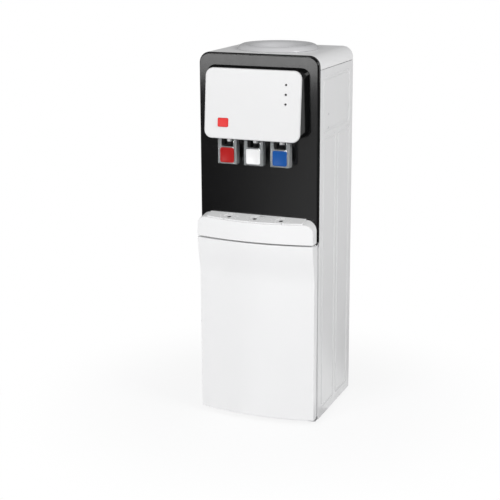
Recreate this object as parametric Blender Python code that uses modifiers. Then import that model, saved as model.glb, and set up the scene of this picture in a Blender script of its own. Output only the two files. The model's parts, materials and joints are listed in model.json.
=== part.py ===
"""A floor-standing bottled-water dispenser with three taps, a drip tray and a storage cabinet.

Metres, +Z up, the front faces -Y. The origin is at the middle of the object's base.
"""
import math

import bmesh
import bpy
from mathutils import Matrix

# Driving dimensions
WIDTH = 0.320
DEPTH = 0.320
HEIGHT = 0.960
PROUD = 0.058
COLLAR_RISE = 0.013
FOOT_HEIGHT = 0.008
COVER_HEIGHT = 0.034
CORNER_RADIUS = 0.028
SHEET = 0.0015
WALL = 0.0025
GAP = 0.0003
OVERRUN = 0.002
MERGE = 0.00001
UPPER_HEIGHT = 0.467
SEAM_GAP = 0.004
FRONT_INSET = 0.0037

HALF = WIDTH / 2
BACK = DEPTH / 2
CABINET_DEPTH = DEPTH - PROUD
FRONT = BACK - CABINET_DEPTH
TOP = HEIGHT - COLLAR_RISE
COVER_SEAM = TOP - COVER_HEIGHT
SEAM_HEIGHT = TOP - UPPER_HEIGHT
BASE = FOOT_HEIGHT
FACE_HALF = HALF - FRONT_INSET
MIDDLE = (FRONT + BACK) / 2

COLOURS = {
    "white_enamel": ((0.80, 0.81, 0.82), 0.35, 0.0),
    "white_plastic": ((0.83, 0.84, 0.85), 0.30, 0.0),
    "collar_plastic": ((0.70, 0.71, 0.72), 0.30, 0.0),
    "black_plastic": ((0.018, 0.018, 0.020), 0.22, 0.0),
    "red_plastic": ((0.62, 0.03, 0.03), 0.30, 0.0),
    "blue_plastic": ((0.02, 0.12, 0.42), 0.30, 0.0),
    "clear_plastic": ((0.75, 0.80, 0.82), 0.08, 0.0),
    "grey_plastic": ((0.30, 0.31, 0.32), 0.45, 0.0),
    "rubber": ((0.05, 0.05, 0.05), 0.80, 0.0),
    "gasket_rubber": ((0.55, 0.55, 0.55), 0.75, 0.0),
    "steel": ((0.60, 0.60, 0.60), 0.30, 1.0),
    "black_enamel": ((0.03, 0.03, 0.03), 0.45, 0.0),
    "copper": ((0.72, 0.38, 0.22), 0.30, 1.0),
    "foam": ((0.78, 0.76, 0.70), 0.90, 0.0),
    "silicone": ((0.80, 0.80, 0.78), 0.55, 0.0),
    "circuit_green": ((0.03, 0.20, 0.08), 0.50, 0.0),
    "smoked_plastic": ((0.030, 0.030, 0.032), 0.15, 0.0),
    "green_plastic": ((0.04, 0.35, 0.10), 0.35, 0.0),
}

MODEL = bpy.data.collections.new("water_dispenser")
CUTTERS = bpy.data.collections.new("cutters")

# The outline's own axes, and the axis that it is pulled along, for each way that a flat outline can face
PLANES = {
    "plan": Matrix(((1, 0, 0, 0), (0, 1, 0, 0), (0, 0, 1, 0), (0, 0, 0, 1))),
    "front": Matrix(((1, 0, 0, 0), (0, 0, 1, 0), (0, 1, 0, 0), (0, 0, 0, 1))),
    "side": Matrix(((0, 0, 1, 0), (1, 0, 0, 0), (0, 1, 0, 0), (0, 0, 0, 1))),
}

# Sizes of the cabinet
FLANGE = 0.014
PAN_LIFT = 0.0012
PAN_WALL = 0.016
FOOT_RADIUS = 0.014
FOOT_NECK = 0.008
FOOT_INSET = 0.032
FOOT_CAP = 0.003
FOOT_TAPER_SHARE = 0.9
EMBOSS_DEPTH = 0.003
EMBOSS_SLOPE = 0.009
EMBOSS_MARGIN = 0.022
EMBOSS_RADIUS = 0.012
UPPER_PANEL_TOP = 0.020
UPPER_PANEL_DROP = 0.194
PANEL_STEP = 0.009
UPPER_PANEL_BOTTOM = TOP - UPPER_PANEL_DROP
LOWER_PANEL_TOP = UPPER_PANEL_BOTTOM - PANEL_STEP
LOWER_PANEL_BOTTOM = 0.030
PANEL_RIB = 0.014

REAR_PANEL_LIFT = 0.005
REAR_PANEL_BOTTOM = SEAM_HEIGHT + REAR_PANEL_LIFT
VENT_LENGTH = 0.060
VENT_HEIGHT = 0.005
VENT_PITCH = 0.013
VENT_ROWS = 5
VENT_DROP = 0.023
VENT_TOP = COVER_SEAM - VENT_DROP
VENT_OFFSET = 0.055

COLLAR_RADIUS = 0.104
COLLAR_RIM = 0.091
COLLAR_LIP = 0.073
COLLAR_SEAT = 0.078

LINER_INSET = 0.021
FRAME_INSET = 0.004
REAR_BAY = 0.132
LINER_DROP = 0.018
LINER_HALF = HALF - LINER_INSET
LINER_FRAME = HALF - FRAME_INSET
LINER_DEPTH = CABINET_DEPTH - REAR_BAY
LINER_TOP = SEAM_HEIGHT - LINER_DROP
LINER_BOTTOM = 0.030
LINER_RADIUS = 0.010

# Sizes of the front above the tray
FASCIA_LOW = SEAM_HEIGHT + SEAM_GAP / 2
FASCIA_PROUD = 0.010
FASCIA_FLANGE = 0.0015
FACE_RADIUS = CORNER_RADIUS - FRONT_INSET
FASCIA_FRONT = FRONT - FASCIA_PROUD
PLATE_INSET = 0.0303
PLATE_DROP = 0.034
PLATE_HEIGHT = 0.173
PLATE_HALF = FACE_HALF - PLATE_INSET
PLATE_TOP = TOP - PLATE_DROP
PLATE_BOTTOM = PLATE_TOP - PLATE_HEIGHT
PLATE_RADIUS = 0.020
PLATE_THICK = 0.006
PLATE_TOP_PROUD = 0.042
PLATE_BOTTOM_PROUD = 0.0575
POD_BASE_MARGIN = 0.0085
POD_BASE_RISE = 0.004
POD_BASE_LIFT = 0.006
POD_BASE_HALF = PLATE_HALF + POD_BASE_MARGIN
POD_BASE_TOP = PLATE_TOP + POD_BASE_RISE
POD_BASE_BOTTOM = PLATE_BOTTOM + POD_BASE_LIFT
POD_SHRINK = 0.002
POD_HOLE_INSET = 0.021
POD_HOLE_LIFT = 0.025
POD_HOLE_DROP = 0.028
POD_HOLE_HALF = PLATE_HALF - POD_HOLE_INSET
POD_HOLE_LOW = PLATE_BOTTOM + POD_HOLE_LIFT
POD_HOLE_HIGH = PLATE_TOP - POD_HOLE_DROP

DOT_INSET = 0.0385
DOT_DROP = 0.034
DOT_PITCH = 0.0235
DOT_COUNT = 3
DOT_X = PLATE_HALF - DOT_INSET
DOT_Z = tuple(PLATE_TOP - DOT_DROP - DOT_PITCH * i for i in range(DOT_COUNT))
DOT_RADIUS = 0.0022
PIPE_MARGIN = 0.001
BUTTON_INSET = 0.0505
BUTTON_LIFT = 0.040
BUTTON_X = BUTTON_INSET - PLATE_HALF
BUTTON_Z = PLATE_BOTTOM + BUTTON_LIFT
BUTTON_WIDTH = 0.028
BUTTON_HEIGHT = 0.022
BUTTON_STAND = 0.0015
BUTTON_DEPTH = 0.0085
BOARD_THICK = 0.0016
BOARD_GAP = 0.006
BOARD_LIFT = 0.080
BOARD_LOW = PLATE_BOTTOM + BOARD_LIFT
PLATE_EDGE = 0.0015
BUTTON_EDGE = 0.001

# Sizes of the taps
TAP_NAMES = ("hot", "room", "cold")
TAP_PITCH = 0.070
TAP_XS = tuple((i - (len(TAP_NAMES) - 1) / 2) * TAP_PITCH for i in range(len(TAP_NAMES)))
TAP_WIDTH = 0.030
TAP_HEIGHT = 0.052
TAP_LIFT = 0.004
TAP_SETBACK = 0.042
TAP_DEPTH = 0.028
BORE_SETBACK = 0.017
TAP_LOW = PLATE_BOTTOM + TAP_LIFT
TAP_HIGH = TAP_LOW + TAP_HEIGHT
TAP_FRONT = FRONT - TAP_SETBACK
TAP_BACK = TAP_FRONT + TAP_DEPTH
BORE_Y = TAP_FRONT + BORE_SETBACK
BORE_RADIUS = 0.0045
NOZZLE_RADIUS = 0.0065
NOZZLE_LENGTH = 0.015
PORT_LIFT = 0.036
STEM_RISE = 0.007
PIN_LIFT = 0.0055
PIN_SETBACK = 0.005
PADDLE_HEIGHT = 0.070
PADDLE_PROUD = 0.0005
NOTCH_LIFT = 0.0445
INSERT_LIFT = 0.004
INSERT_HEIGHT = 0.0375
TAP_GAP_SIDE = 0.002
NOZZLE_LOW = TAP_LOW - NOZZLE_LENGTH
PORT_Z = TAP_LOW + PORT_LIFT
PORT_RADIUS = 0.003
BARB_RADIUS = 0.005
BARB_LENGTH = 0.012
STEM_RADIUS = 0.002
STEM_HEAD_RADIUS = 0.0042
STEM_HEAD = 0.006
STEM_TOP = TAP_HIGH + STEM_RISE
PIN_Y = TAP_FRONT + PIN_SETBACK
PIN_Z = TAP_LOW + PIN_LIFT
PIN_RADIUS = 0.0015
PADDLE_WIDTH = 0.050
PADDLE_THICK = 0.0022
PADDLE_LOW = TAP_LOW - PADDLE_HEIGHT
PADDLE_FRONT = TAP_FRONT + PADDLE_PROUD
PADDLE_DEPTH = 0.020
PADDLE_NOTCH_HALF = 0.0165
PADDLE_NOTCH_LOW = PADDLE_LOW + NOTCH_LIFT
PADDLE_RADIUS = 0.004
PADDLE_ARM = 0.006
INSERT_HALF = 0.0185
INSERT_LOW = PADDLE_LOW + INSERT_LIFT
INSERT_HIGH = INSERT_LOW + INSERT_HEIGHT
INSERT_THICK = 0.0022
TAP_GAP_HALF = PADDLE_WIDTH / 2 + TAP_GAP_SIDE
TAP_GAP_MARGIN = 0.004
INSERT_COLOURS = ("red_plastic", "white_plastic", "blue_plastic")

# Sizes of the drip tray
HOUSING_TALL = 0.060
HOUSING_PROUD = 0.038
TRAY_INSET = 0.0283
TRAY_LIFT = 0.027
HOUSING_HIGH = SEAM_HEIGHT + HOUSING_TALL
HOUSING_RADIUS = 0.026
HOUSING_EDGE = FRONT - HOUSING_PROUD
HOUSING_RISE = PROUD - HOUSING_PROUD
HOUSING_CORNER = 0.004
HOUSING_WALL = 0.003
TRAY_HALF = FACE_HALF - TRAY_INSET
TRAY_LOW = SEAM_HEIGHT + TRAY_LIFT
TRAY_HIGH = HOUSING_HIGH
TRAY_MARGIN = 0.007
TRAY_WALL = 0.0018
GRILLE_THICK = 0.0025
GRILLE_MARGIN = 0.004
GRILLE_HALF = TRAY_HALF + TRAY_WALL
ROSETTE_PITCH = TAP_PITCH
ROSETTE_HOLE = 0.0048
ROSETTE_RING = 0.0145
RING_HOLE = 0.0022
RING_COUNT = 8

# Sizes of the door
DOOR_LOW = 0.012
DOOR_HIGH = SEAM_HEIGHT - SEAM_GAP / 2
DOOR_PROUD = 0.023
DOOR_STANDOFF = 0.0037
DOOR_EDGE = FRONT - DOOR_PROUD
DOOR_RISE = 0.020
DOOR_FLARE = 0.015
FLARE_HEIGHT = 0.105
DOOR_BACK = FRONT - DOOR_STANDOFF
DOOR_WALL = 0.0025
DOOR_COLUMNS = 12
DOOR_ROWS = 6
DOOR_INNER_THICK = 0.0015
GASKET_OUTER = 0.0035
GASKET_WIDTH = 0.007
HINGE_INSET = 0.010
HINGE_PROUD = 0.016
HINGE_X = HALF - HINGE_INSET
HINGE_Y = FRONT - HINGE_PROUD
HINGE_PIN = 0.0025
HINGE_PLATE = 0.0015
HINGE_REACH = 0.005
HINGE_LEG = 0.010
LEG_HEIGHT = 0.008
PIN_LENGTH = 0.008
GRIP_DEPTH = 0.008
GRIP_LENGTH = 0.110
GRIP_DROP = 0.178
GRIP_Z = DOOR_HIGH - GRIP_DROP
INNER_DISH = 0.010
INNER_MARGIN = 0.024

CATCH_DROP = 0.228
CATCH_Z = DOOR_HIGH - CATCH_DROP
CATCH_LENGTH = 0.040
CATCH_WIDTH = 0.012
CATCH_DEPTH = 0.018

# Sizes of the bottle seat and tanks
COLLAR_THICK = 0.0025
FUNNEL_DROP = 0.042
FUNNEL_LOW = TOP - FUNNEL_DROP
FUNNEL_RADIUS = 0.020
FUNNEL_NECK = 0.012
PROBE_RADIUS = 0.0105
PROBE_RISE = 0.003
PROBE_TOP = TOP + PROBE_RISE
PROBE_BORE = 0.006
FOAM_ROOM = 0.045
FOAM_WALL = 0.020
COIL_ROOM = 0.010
FOAM_DROP = 0.022
TANK_DROP = 0.017
TANK_HEIGHT = 0.198
TANK_WALL = 0.0015
FOAM_OUTER = CABINET_DEPTH / 2 - FOAM_ROOM
FOAM_INNER = FOAM_OUTER - FOAM_WALL
TANK_RADIUS = FOAM_INNER - COIL_ROOM
TANK_HIGH = FUNNEL_LOW - TANK_DROP
TANK_LOW = TANK_HIGH - TANK_HEIGHT
FOAM_LOW = TANK_LOW - FOAM_DROP
COIL_TURNS = 5
COIL_STEPS = 14
COIL_RADIUS = 0.0035
COIL_CENTRE = (TANK_RADIUS + GAP + COIL_RADIUS) / math.cos(math.pi / COIL_STEPS)
COIL_LIFT = 0.025
COIL_DROP = 0.033
COIL_LOW = TANK_LOW + COIL_LIFT
COIL_HIGH = TANK_HIGH - COIL_DROP
DRAIN_RADIUS = 0.006

COLLAR_LIP_DROP = 0.004

TANK_FLANGE = 0.014
OUTLET_RADIUS = 0.005
OUTLET_DROP = 0.038
OUTLET_LOW = TANK_LOW - OUTLET_DROP

LINE_INSET = 0.024
LINE_Y = BACK - LINE_INSET
LINE_BEND = 0.018
DRIER_LENGTH = 0.080
DRIER_LOW = 0.245
DRIER_HIGH = DRIER_LOW + DRIER_LENGTH
DRIER_RADIUS = 0.009
COMPRESSOR_INSET = 0.130
COMPRESSOR_SETBACK = 0.070
COMPRESSOR_HEIGHT = 0.116
STUB_RISE = 0.008
SUCTION_RISE = 0.030
COMPRESSOR_X = HALF - COMPRESSOR_INSET
COMPRESSOR_Y = BACK - COMPRESSOR_SETBACK
COMPRESSOR_RADIUS = 0.050
COMPRESSOR_LOW = 0.034
COMPRESSOR_HIGH = COMPRESSOR_LOW + COMPRESSOR_HEIGHT
STUB_TOP = COMPRESSOR_HIGH + STUB_RISE
SUCTION_HIGH = COMPRESSOR_HIGH + SUCTION_RISE
HOT_INSET = 0.085
HOT_SETBACK = 0.122
HOT_LIFT = 0.025
HOT_ROOM = 0.043
HOT_X = HOT_INSET - HALF
HOT_Y = FRONT + HOT_SETBACK
HOT_RADIUS = 0.044
HOT_LOW = SEAM_HEIGHT + HOT_LIFT
HOT_HIGH = FOAM_LOW - HOT_ROOM
HOT_DOME = 0.012
SHELF_LOW = SEAM_HEIGHT + GAP
HOT_BOSS = 0.018
SHELF_BACK = 0.028

STAND_INSET = 0.025
STAND_HALF_X = HALF - STAND_INSET
STAND_HALF_Y = 0.045

HOSE_RADIUS = 0.0045
HOSE_STEPS = 5
ROOM_PORT_DROP = 0.016
ROOM_PORT_Z = TANK_HIGH - ROOM_PORT_DROP
HOSE_LEAD = 0.012
COLD_BEND_SHARE = 0.7
COLD_BEND_DROP = 0.0192
HOT_BEND_RISE = 0.0156
HOSE_DROP = 0.075

# Sizes of the cooling and electrics
CONDENSER_INSET = 0.040
CONDENSER_DROP = 0.025
CONDENSER_SETBACK = 0.009
DISCHARGE_INSET = 0.026
DISCHARGE_DROP = 0.030
CONDENSER_HALF = HALF - CONDENSER_INSET
CONDENSER_LOW = 0.185
CONDENSER_ROWS = 7
CONDENSER_PITCH = (SEAM_HEIGHT - CONDENSER_DROP - CONDENSER_LOW) / (CONDENSER_ROWS - 1)
CONDENSER_Y = BACK - CONDENSER_SETBACK
CONDENSER_RADIUS = 0.0025
STRAP_WIDTH = 0.026
DISCHARGE_X = HALF - DISCHARGE_INSET
DISCHARGE_Z = COMPRESSOR_HIGH - DISCHARGE_DROP
MOUNT_HALF_X = 0.075
MOUNT_HALF_Y = 0.045
MOUNT_RADIUS = 0.008
SHELL_TOP_SHARES = ((0, 0), (0.55, 0.06), (0.86, 0.24), (1, 0.55))
SHELL_BOTTOM_SHARES = ((1, 0.45), (0.84, 0.15), (0.5, 0), (0, 0))

SWITCH_INSET = 0.075
SWITCH_LIFT = 0.080
SWITCH_X = HALF - SWITCH_INSET
SWITCH_Z = SEAM_HEIGHT + SWITCH_LIFT
SWITCH_WIDTH = 0.040
SWITCH_HEIGHT = 0.028
SWITCH_FLANGE = 0.003
SWITCH_DEPTH = 0.022
ROCKER_PITCH = 0.019
ROCKER_WIDTH = 0.0150
ROCKER_HEIGHT = 0.019
ROCKER_PIVOT = 0.0085
ROCKER_BACK = 0.005
ROCKER_SLANT = math.tan(math.radians(14))
ROCKER_ROOM = 0.0024
INLET_INSET = 0.040
INLET_X = INLET_INSET - HALF
INLET_Z = SWITCH_Z
INLET_RADIUS = 0.006
INLET_FLANGE = 0.010
INLET_BORE = 0.0037
INLET_DEPTH = 0.014
DRAIN_LIFT = 0.040
DRAIN_Z = SEAM_HEIGHT + DRAIN_LIFT
DRAIN_CAP_RADIUS = 0.011
DRAIN_PLUG = 0.0035


# Helpers

def paint(obj, colour):
    """Gives an object its material."""
    made = bpy.data.materials.get(colour)
    if made is None:
        rgb, rough, metal = COLOURS[colour]
        made = bpy.data.materials.new(colour)
        made.use_nodes = True
        shader = made.node_tree.nodes["Principled BSDF"]
        shader.inputs["Base Color"].default_value = (*rgb, 1.0)
        shader.inputs["Roughness"].default_value = rough
        shader.inputs["Metallic"].default_value = metal
    obj.data.materials.clear()
    obj.data.materials.append(made)


def place(obj, name, colour=None, smooth=False):
    """Names an object, moves it into the model's collection, or the cutters' one where it has no colour."""
    obj.name = name
    for holder in list(obj.users_collection):
        holder.objects.unlink(obj)
    if colour is None:
        CUTTERS.objects.link(obj)
        obj.hide_render = True
        obj.display_type = "WIRE"
        return obj
    MODEL.objects.link(obj)
    paint(obj, colour)
    if smooth:
        obj.data.shade_smooth()
        obj.data.set_sharp_from_angle(angle=math.radians(35))
    return obj


def block(name, low, high, colour=None):
    """A box between two corners."""
    bpy.ops.mesh.primitive_cube_add(size=1, location=[(a + b) / 2 for a, b in zip(low, high)])
    obj = bpy.context.object
    obj.scale = [b - a for a, b in zip(low, high)]
    bpy.ops.object.transform_apply(location=False, rotation=False, scale=True)
    return place(obj, name, colour)


def rod(name, radius, start, end, colour=None, sides=16):
    """A round bar between two points on a line along X, Y or Z."""
    run = [b - a for a, b in zip(start, end)]
    length = math.sqrt(sum(r * r for r in run))
    bpy.ops.mesh.primitive_cylinder_add(vertices=sides, radius=radius, depth=length,
                                        location=[(a + b) / 2 for a, b in zip(start, end)])
    obj = bpy.context.object
    if abs(run[0]) > length / 2:
        obj.rotation_euler = (0, math.pi / 2, 0)
    elif abs(run[1]) > length / 2:
        obj.rotation_euler = (-math.pi / 2, 0, 0)
    bpy.ops.object.transform_apply(location=False, rotation=True, scale=False)
    return place(obj, name, colour, smooth=True)


def turned(name, profile, centre, colour=None, sides=32, closed=False):
    """A turned shape about a vertical axis; its profile of (radius, height) points runs down the outside."""
    mesh = bpy.data.meshes.new(name)
    count = len(profile)
    edges = [(i, i + 1) for i in range(count - 1)]
    if closed:
        edges.append((count - 1, 0))
    mesh.from_pydata([(r, 0, z) for r, z in profile], edges, [])
    obj = bpy.data.objects.new(name, mesh)
    bpy.context.scene.collection.objects.link(obj)
    obj.location = (centre[0], centre[1], 0)
    turn = obj.modifiers.new("turning", "SCREW")
    turn.steps = sides
    turn.render_steps = sides
    turn.use_merge_vertices = True
    turn.merge_threshold = MERGE
    turn.use_normal_calculate = not closed
    solid = baked(obj)
    return place(solid, name, colour, smooth=True)


def baked(obj):
    """Turns a curve or an object with modifiers into a plain closed mesh with outward faces."""
    graph = bpy.context.evaluated_depsgraph_get()
    graph.update()
    mesh = bpy.data.meshes.new_from_object(obj.evaluated_get(graph))
    work = bmesh.new()
    work.from_mesh(mesh)
    bmesh.ops.remove_doubles(work, verts=work.verts, dist=MERGE)
    bmesh.ops.recalc_face_normals(work, faces=work.faces)
    work.to_mesh(mesh)
    work.free()
    solid = bpy.data.objects.new(obj.name + "_solid", mesh)
    bpy.context.scene.collection.objects.link(solid)
    solid.matrix_world = obj.matrix_world
    bpy.data.objects.remove(obj, do_unlink=True)
    return solid


def tube(name, points, radius, colour=None, resolution=2):
    """A round tube along points."""
    curve = bpy.data.curves.new(name, "CURVE")
    curve.dimensions = "3D"
    curve.bevel_depth = radius
    curve.bevel_resolution = resolution
    curve.use_fill_caps = True
    line = curve.splines.new("POLY")
    line.points.add(len(points) - 1)
    for slot, point in zip(line.points, points):
        slot.co = (*point, 1)
    obj = bpy.data.objects.new(name, curve)
    bpy.context.scene.collection.objects.link(obj)
    return place(baked(obj), name, colour, smooth=True)


def prism(name, outline, plane, start, end, colour=None):
    """A flat outline pulled from start to end: plan (x, y) on Z, front (x, z) on Y or side (y, z) on X."""
    curve = bpy.data.curves.new(name, "CURVE")
    curve.dimensions = "2D"
    curve.fill_mode = "BOTH"
    curve.extrude = (end - start) / 2
    line = curve.splines.new("POLY")
    line.points.add(len(outline) - 1)
    for slot, point in zip(line.points, outline):
        slot.co = (*point, 0, 1)
    line.use_cyclic_u = True
    obj = bpy.data.objects.new(name, curve)
    bpy.context.scene.collection.objects.link(obj)
    solid = baked(obj)
    solid.data.transform(PLANES[plane] @ Matrix.Translation((0, 0, (start + end) / 2)))
    work = bmesh.new()
    work.from_mesh(solid.data)
    bmesh.ops.recalc_face_normals(work, faces=work.faces)
    work.to_mesh(solid.data)
    work.free()
    return place(solid, name, colour)


def loft(name, rings, plane, colour=None):
    """A closed skin through outlines of equal counts; each lies at a place, or at a function of its points."""
    work = bmesh.new()
    levels = []
    for outline, spot in rings:
        levels.append([work.verts.new((u, v, spot(u, v) if callable(spot) else spot)) for u, v in outline])
    count = len(rings[0][0])
    for low, high in zip(levels, levels[1:]):
        for i in range(count):
            j = (i + 1) % count
            work.faces.new((low[i], low[j], high[j], high[i]))
    for cap in (levels[0], levels[-1]):
        work.faces.new(cap)
    work.transform(PLANES[plane])
    bmesh.ops.recalc_face_normals(work, faces=work.faces)
    mesh = bpy.data.meshes.new(name)
    work.to_mesh(mesh)
    work.free()
    obj = bpy.data.objects.new(name, mesh)
    bpy.context.scene.collection.objects.link(obj)
    return place(obj, name, colour)


def boolean(target, tool, kind):
    """Cuts or joins with an object, which goes to the cutters' collection."""
    if tool.name not in CUTTERS.objects:
        place(tool, tool.name)
    step = target.modifiers.new(kind.lower(), "BOOLEAN")
    step.operation = kind
    step.object = tool
    step.solver = "EXACT"
    return target


def cut(target, *tools):
    for tool in tools:
        boolean(target, tool, "DIFFERENCE")
    return target


def join(target, *tools):
    for tool in tools:
        boolean(target, tool, "UNION")
    return target


def arc(cx, cy, radius, first, last, steps):
    """Points of an arc, with its angles in degrees."""
    turns = [math.radians(first + (last - first) * i / steps) for i in range(steps + 1)]
    return [(cx + radius * math.cos(t), cy + radius * math.sin(t)) for t in turns]


def rounded(x0, x1, y0, y1, radius, steps=4):
    """A rectangle with round corners, counter-clockwise from its lower left, with one radius or four."""
    radii = radius if isinstance(radius, (tuple, list)) else (radius,) * 4
    spots = ((x0, y0, 1, 1, 180), (x1, y0, -1, 1, 270), (x1, y1, -1, -1, 0), (x0, y1, 1, -1, 90))
    points = []
    for (x, y, sx, sy, first), r in zip(spots, radii):
        if r:
            points += arc(x + sx * r, y + sy * r, r, first, first + 90, steps)
        else:
            points.append((x, y))
    return points


def inset(x0, x1, y0, y1, by):
    return x0 + by, x1 - by, y0 + by, y1 - by


def crown(x, half, edge, rise):
    """The front's Y at a place across it: a shallow arc that stands forward in the middle."""
    return edge - rise * (1 - (x / half) ** 2)


def crowned_plan(half, edge, rise, back, corner=0, steps=12):
    """A plan outline with a crowned front edge and a straight back."""
    xs = [-half + 2 * half * i / steps for i in range(steps + 1)]
    if corner:
        xs[0] = -half + corner
        xs[-1] = half - corner
    front = [(x, crown(x, half, edge, rise)) for x in xs]
    if corner:
        front = [(-half, edge + corner)] + front + [(half, edge + corner)]
    return front + [(half, back), (-half, back)]


# Cabinet

def foot(name, sx, sy):
    """A moulded foot whose neck goes up through the base pan."""
    centre = (sx * (HALF - FOOT_INSET), MIDDLE + sy * (CABINET_DEPTH / 2 - FOOT_INSET))
    pan_low = BASE + PAN_LIFT
    profile = [
        (0, pan_low + SHEET + GAP + FOOT_CAP),
        (FOOT_NECK, pan_low + SHEET + GAP + FOOT_CAP),
        (FOOT_NECK, pan_low - GAP),
        (FOOT_RADIUS, pan_low - GAP),
        (FOOT_RADIUS * FOOT_TAPER_SHARE, 0),
        (0, 0),
    ]
    return turned(name, profile, centre, "rubber", sides=20)


def base_pan():
    """A pressed steel tray with four upturned walls, which stands on the feet."""
    low = BASE + PAN_LIFT
    edge = HALF - SHEET - GAP
    pan = block("base_pan", (-edge, FRONT + SHEET + GAP, low), (edge, BACK - SHEET - GAP, low + PAN_WALL),
                "black_enamel")
    cut(pan, block("pan_hollow", (-edge + SHEET, FRONT + 2 * SHEET + GAP, low + SHEET),
                   (edge - SHEET, BACK - 2 * SHEET - GAP, low + PAN_WALL + OVERRUN)))
    for sx in (-1, 1):
        for sy in (-1, 1):
            x = sx * (HALF - FOOT_INSET)
            y = MIDDLE + sy * (CABINET_DEPTH / 2 - FOOT_INSET)
            cut(pan, rod("foot_hole", FOOT_NECK + GAP, (x, y, low - OVERRUN), (x, y, low + SHEET + OVERRUN),
                         sides=20))
    return pan


def emboss(panel, name, y0, y1, z0, z1, side):
    """Presses a recess into a side panel: joins a bump on inside, and returns the recess's cutter."""
    outer = rounded(y0, y1, z0, z1, EMBOSS_RADIUS, steps=3)
    inner = rounded(*inset(y0, y1, z0, z1, EMBOSS_SLOPE), EMBOSS_RADIUS - EMBOSS_SLOPE, steps=3)
    bump_outer = rounded(*inset(y0, y1, z0, z1, -SHEET), EMBOSS_RADIUS + SHEET, steps=3)
    bump_inner = rounded(*inset(y0, y1, z0, z1, EMBOSS_SLOPE - SHEET), EMBOSS_RADIUS + SHEET - EMBOSS_SLOPE,
                         steps=3)
    bump = loft(name + "_bump", [(bump_outer, side * (HALF - SHEET / 2)),
                                 (bump_inner, side * (HALF - SHEET - EMBOSS_DEPTH))], "side")
    join(panel, bump)
    return loft(name + "_recess", [(outer, side * (HALF + OVERRUN)), (outer, side * HALF),
                                   (inner, side * (HALF - EMBOSS_DEPTH))], "side")


def side_panel(name, side):
    """A painted sheet side, folded in at the front and the back, with three pressed recesses."""
    plan = [
        (HALF, FRONT), (HALF, BACK), (HALF - FLANGE, BACK), (HALF - FLANGE, BACK - SHEET),
        (HALF - SHEET, BACK - SHEET), (HALF - SHEET, FRONT + SHEET), (HALF - FLANGE, FRONT + SHEET),
        (HALF - FLANGE, FRONT),
    ]
    plan = [(side * x, y) for x, y in plan]
    panel = prism(name, plan, "plan", BASE, COVER_SEAM - GAP, "white_enamel")
    front = FRONT + EMBOSS_MARGIN
    back = BACK - EMBOSS_MARGIN
    centre = (front + back) / 2
    recesses = [
        emboss(panel, name + "_upper", front, back, UPPER_PANEL_BOTTOM, COVER_SEAM - UPPER_PANEL_TOP, side),
        emboss(panel, name + "_lower_front", front, centre - PANEL_RIB / 2, LOWER_PANEL_BOTTOM,
               LOWER_PANEL_TOP, side),
        emboss(panel, name + "_lower_back", centre + PANEL_RIB / 2, back, LOWER_PANEL_BOTTOM,
               LOWER_PANEL_TOP, side),
    ]
    return cut(panel, *recesses)


def rear_panel():
    """The upper rear cover, with vent slots; it lies against the inside of the side panels' rear folds."""
    outer = BACK - SHEET - GAP
    edge = HALF - SHEET - GAP
    panel = block("rear_panel", (-edge, outer - SHEET, REAR_PANEL_BOTTOM), (edge, outer, COVER_SEAM - GAP),
                  "white_enamel")
    for sx in (-1, 1):
        for row in range(VENT_ROWS):
            z = VENT_TOP - row * VENT_PITCH
            x = sx * VENT_OFFSET
            cut(panel, block("vent", (x - VENT_LENGTH / 2, outer - SHEET - OVERRUN, z - VENT_HEIGHT),
                             (x + VENT_LENGTH / 2, outer + OVERRUN, z)))
    x, z = SWITCH_X, SWITCH_Z
    cut(panel, block("switch_window", (x - SWITCH_WIDTH / 2, outer - SHEET - OVERRUN,
                                       z - SWITCH_HEIGHT / 2),
                     (x + SWITCH_WIDTH / 2, outer + OVERRUN, z + SWITCH_HEIGHT / 2)))
    cut(panel, rod("inlet_hole", INLET_RADIUS + GAP, (INLET_X, outer - SHEET - OVERRUN, INLET_Z),
                   (INLET_X, outer + OVERRUN, INLET_Z), sides=20))
    return cut(panel, rod("drain_hole", DRAIN_PLUG + GAP, (HOT_X, outer - SHEET - OVERRUN, DRAIN_Z),
                          (HOT_X, outer + OVERRUN, DRAIN_Z), sides=16))


def top_cover():
    """The moulded top, rounded down to the sides, with a round opening for the bottle collar."""
    def outline(half, top, radius, bottom):
        return ([(half, bottom)] + arc(half - radius, top - radius, radius, 0, 90, 6)
                + arc(-half + radius, top - radius, radius, 90, 180, 6) + [(-half, bottom)])

    cover = prism("top_cover", outline(HALF, TOP, CORNER_RADIUS, COVER_SEAM), "front", FRONT, BACK,
                  "white_plastic")
    hollow = prism("cover_hollow", outline(HALF - WALL, TOP - WALL, CORNER_RADIUS - WALL,
                                           COVER_SEAM - OVERRUN),
                   "front", FRONT + WALL, BACK - WALL)
    mouth = rod("collar_mouth", COLLAR_SEAT + GAP, (0, MIDDLE, TOP - WALL - OVERRUN),
                (0, MIDDLE, TOP + OVERRUN), sides=48)
    corner = CORNER_RADIUS - FLANGE
    opening = rounded(-HALF + FLANGE, HALF - FLANGE, COVER_SEAM - OVERRUN, TOP - FLANGE, (0, 0, corner, corner))
    window = prism("cover_window", opening, "front", FRONT - OVERRUN, FRONT + WALL + OVERRUN)
    return cut(cover, hollow, mouth, window)


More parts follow.
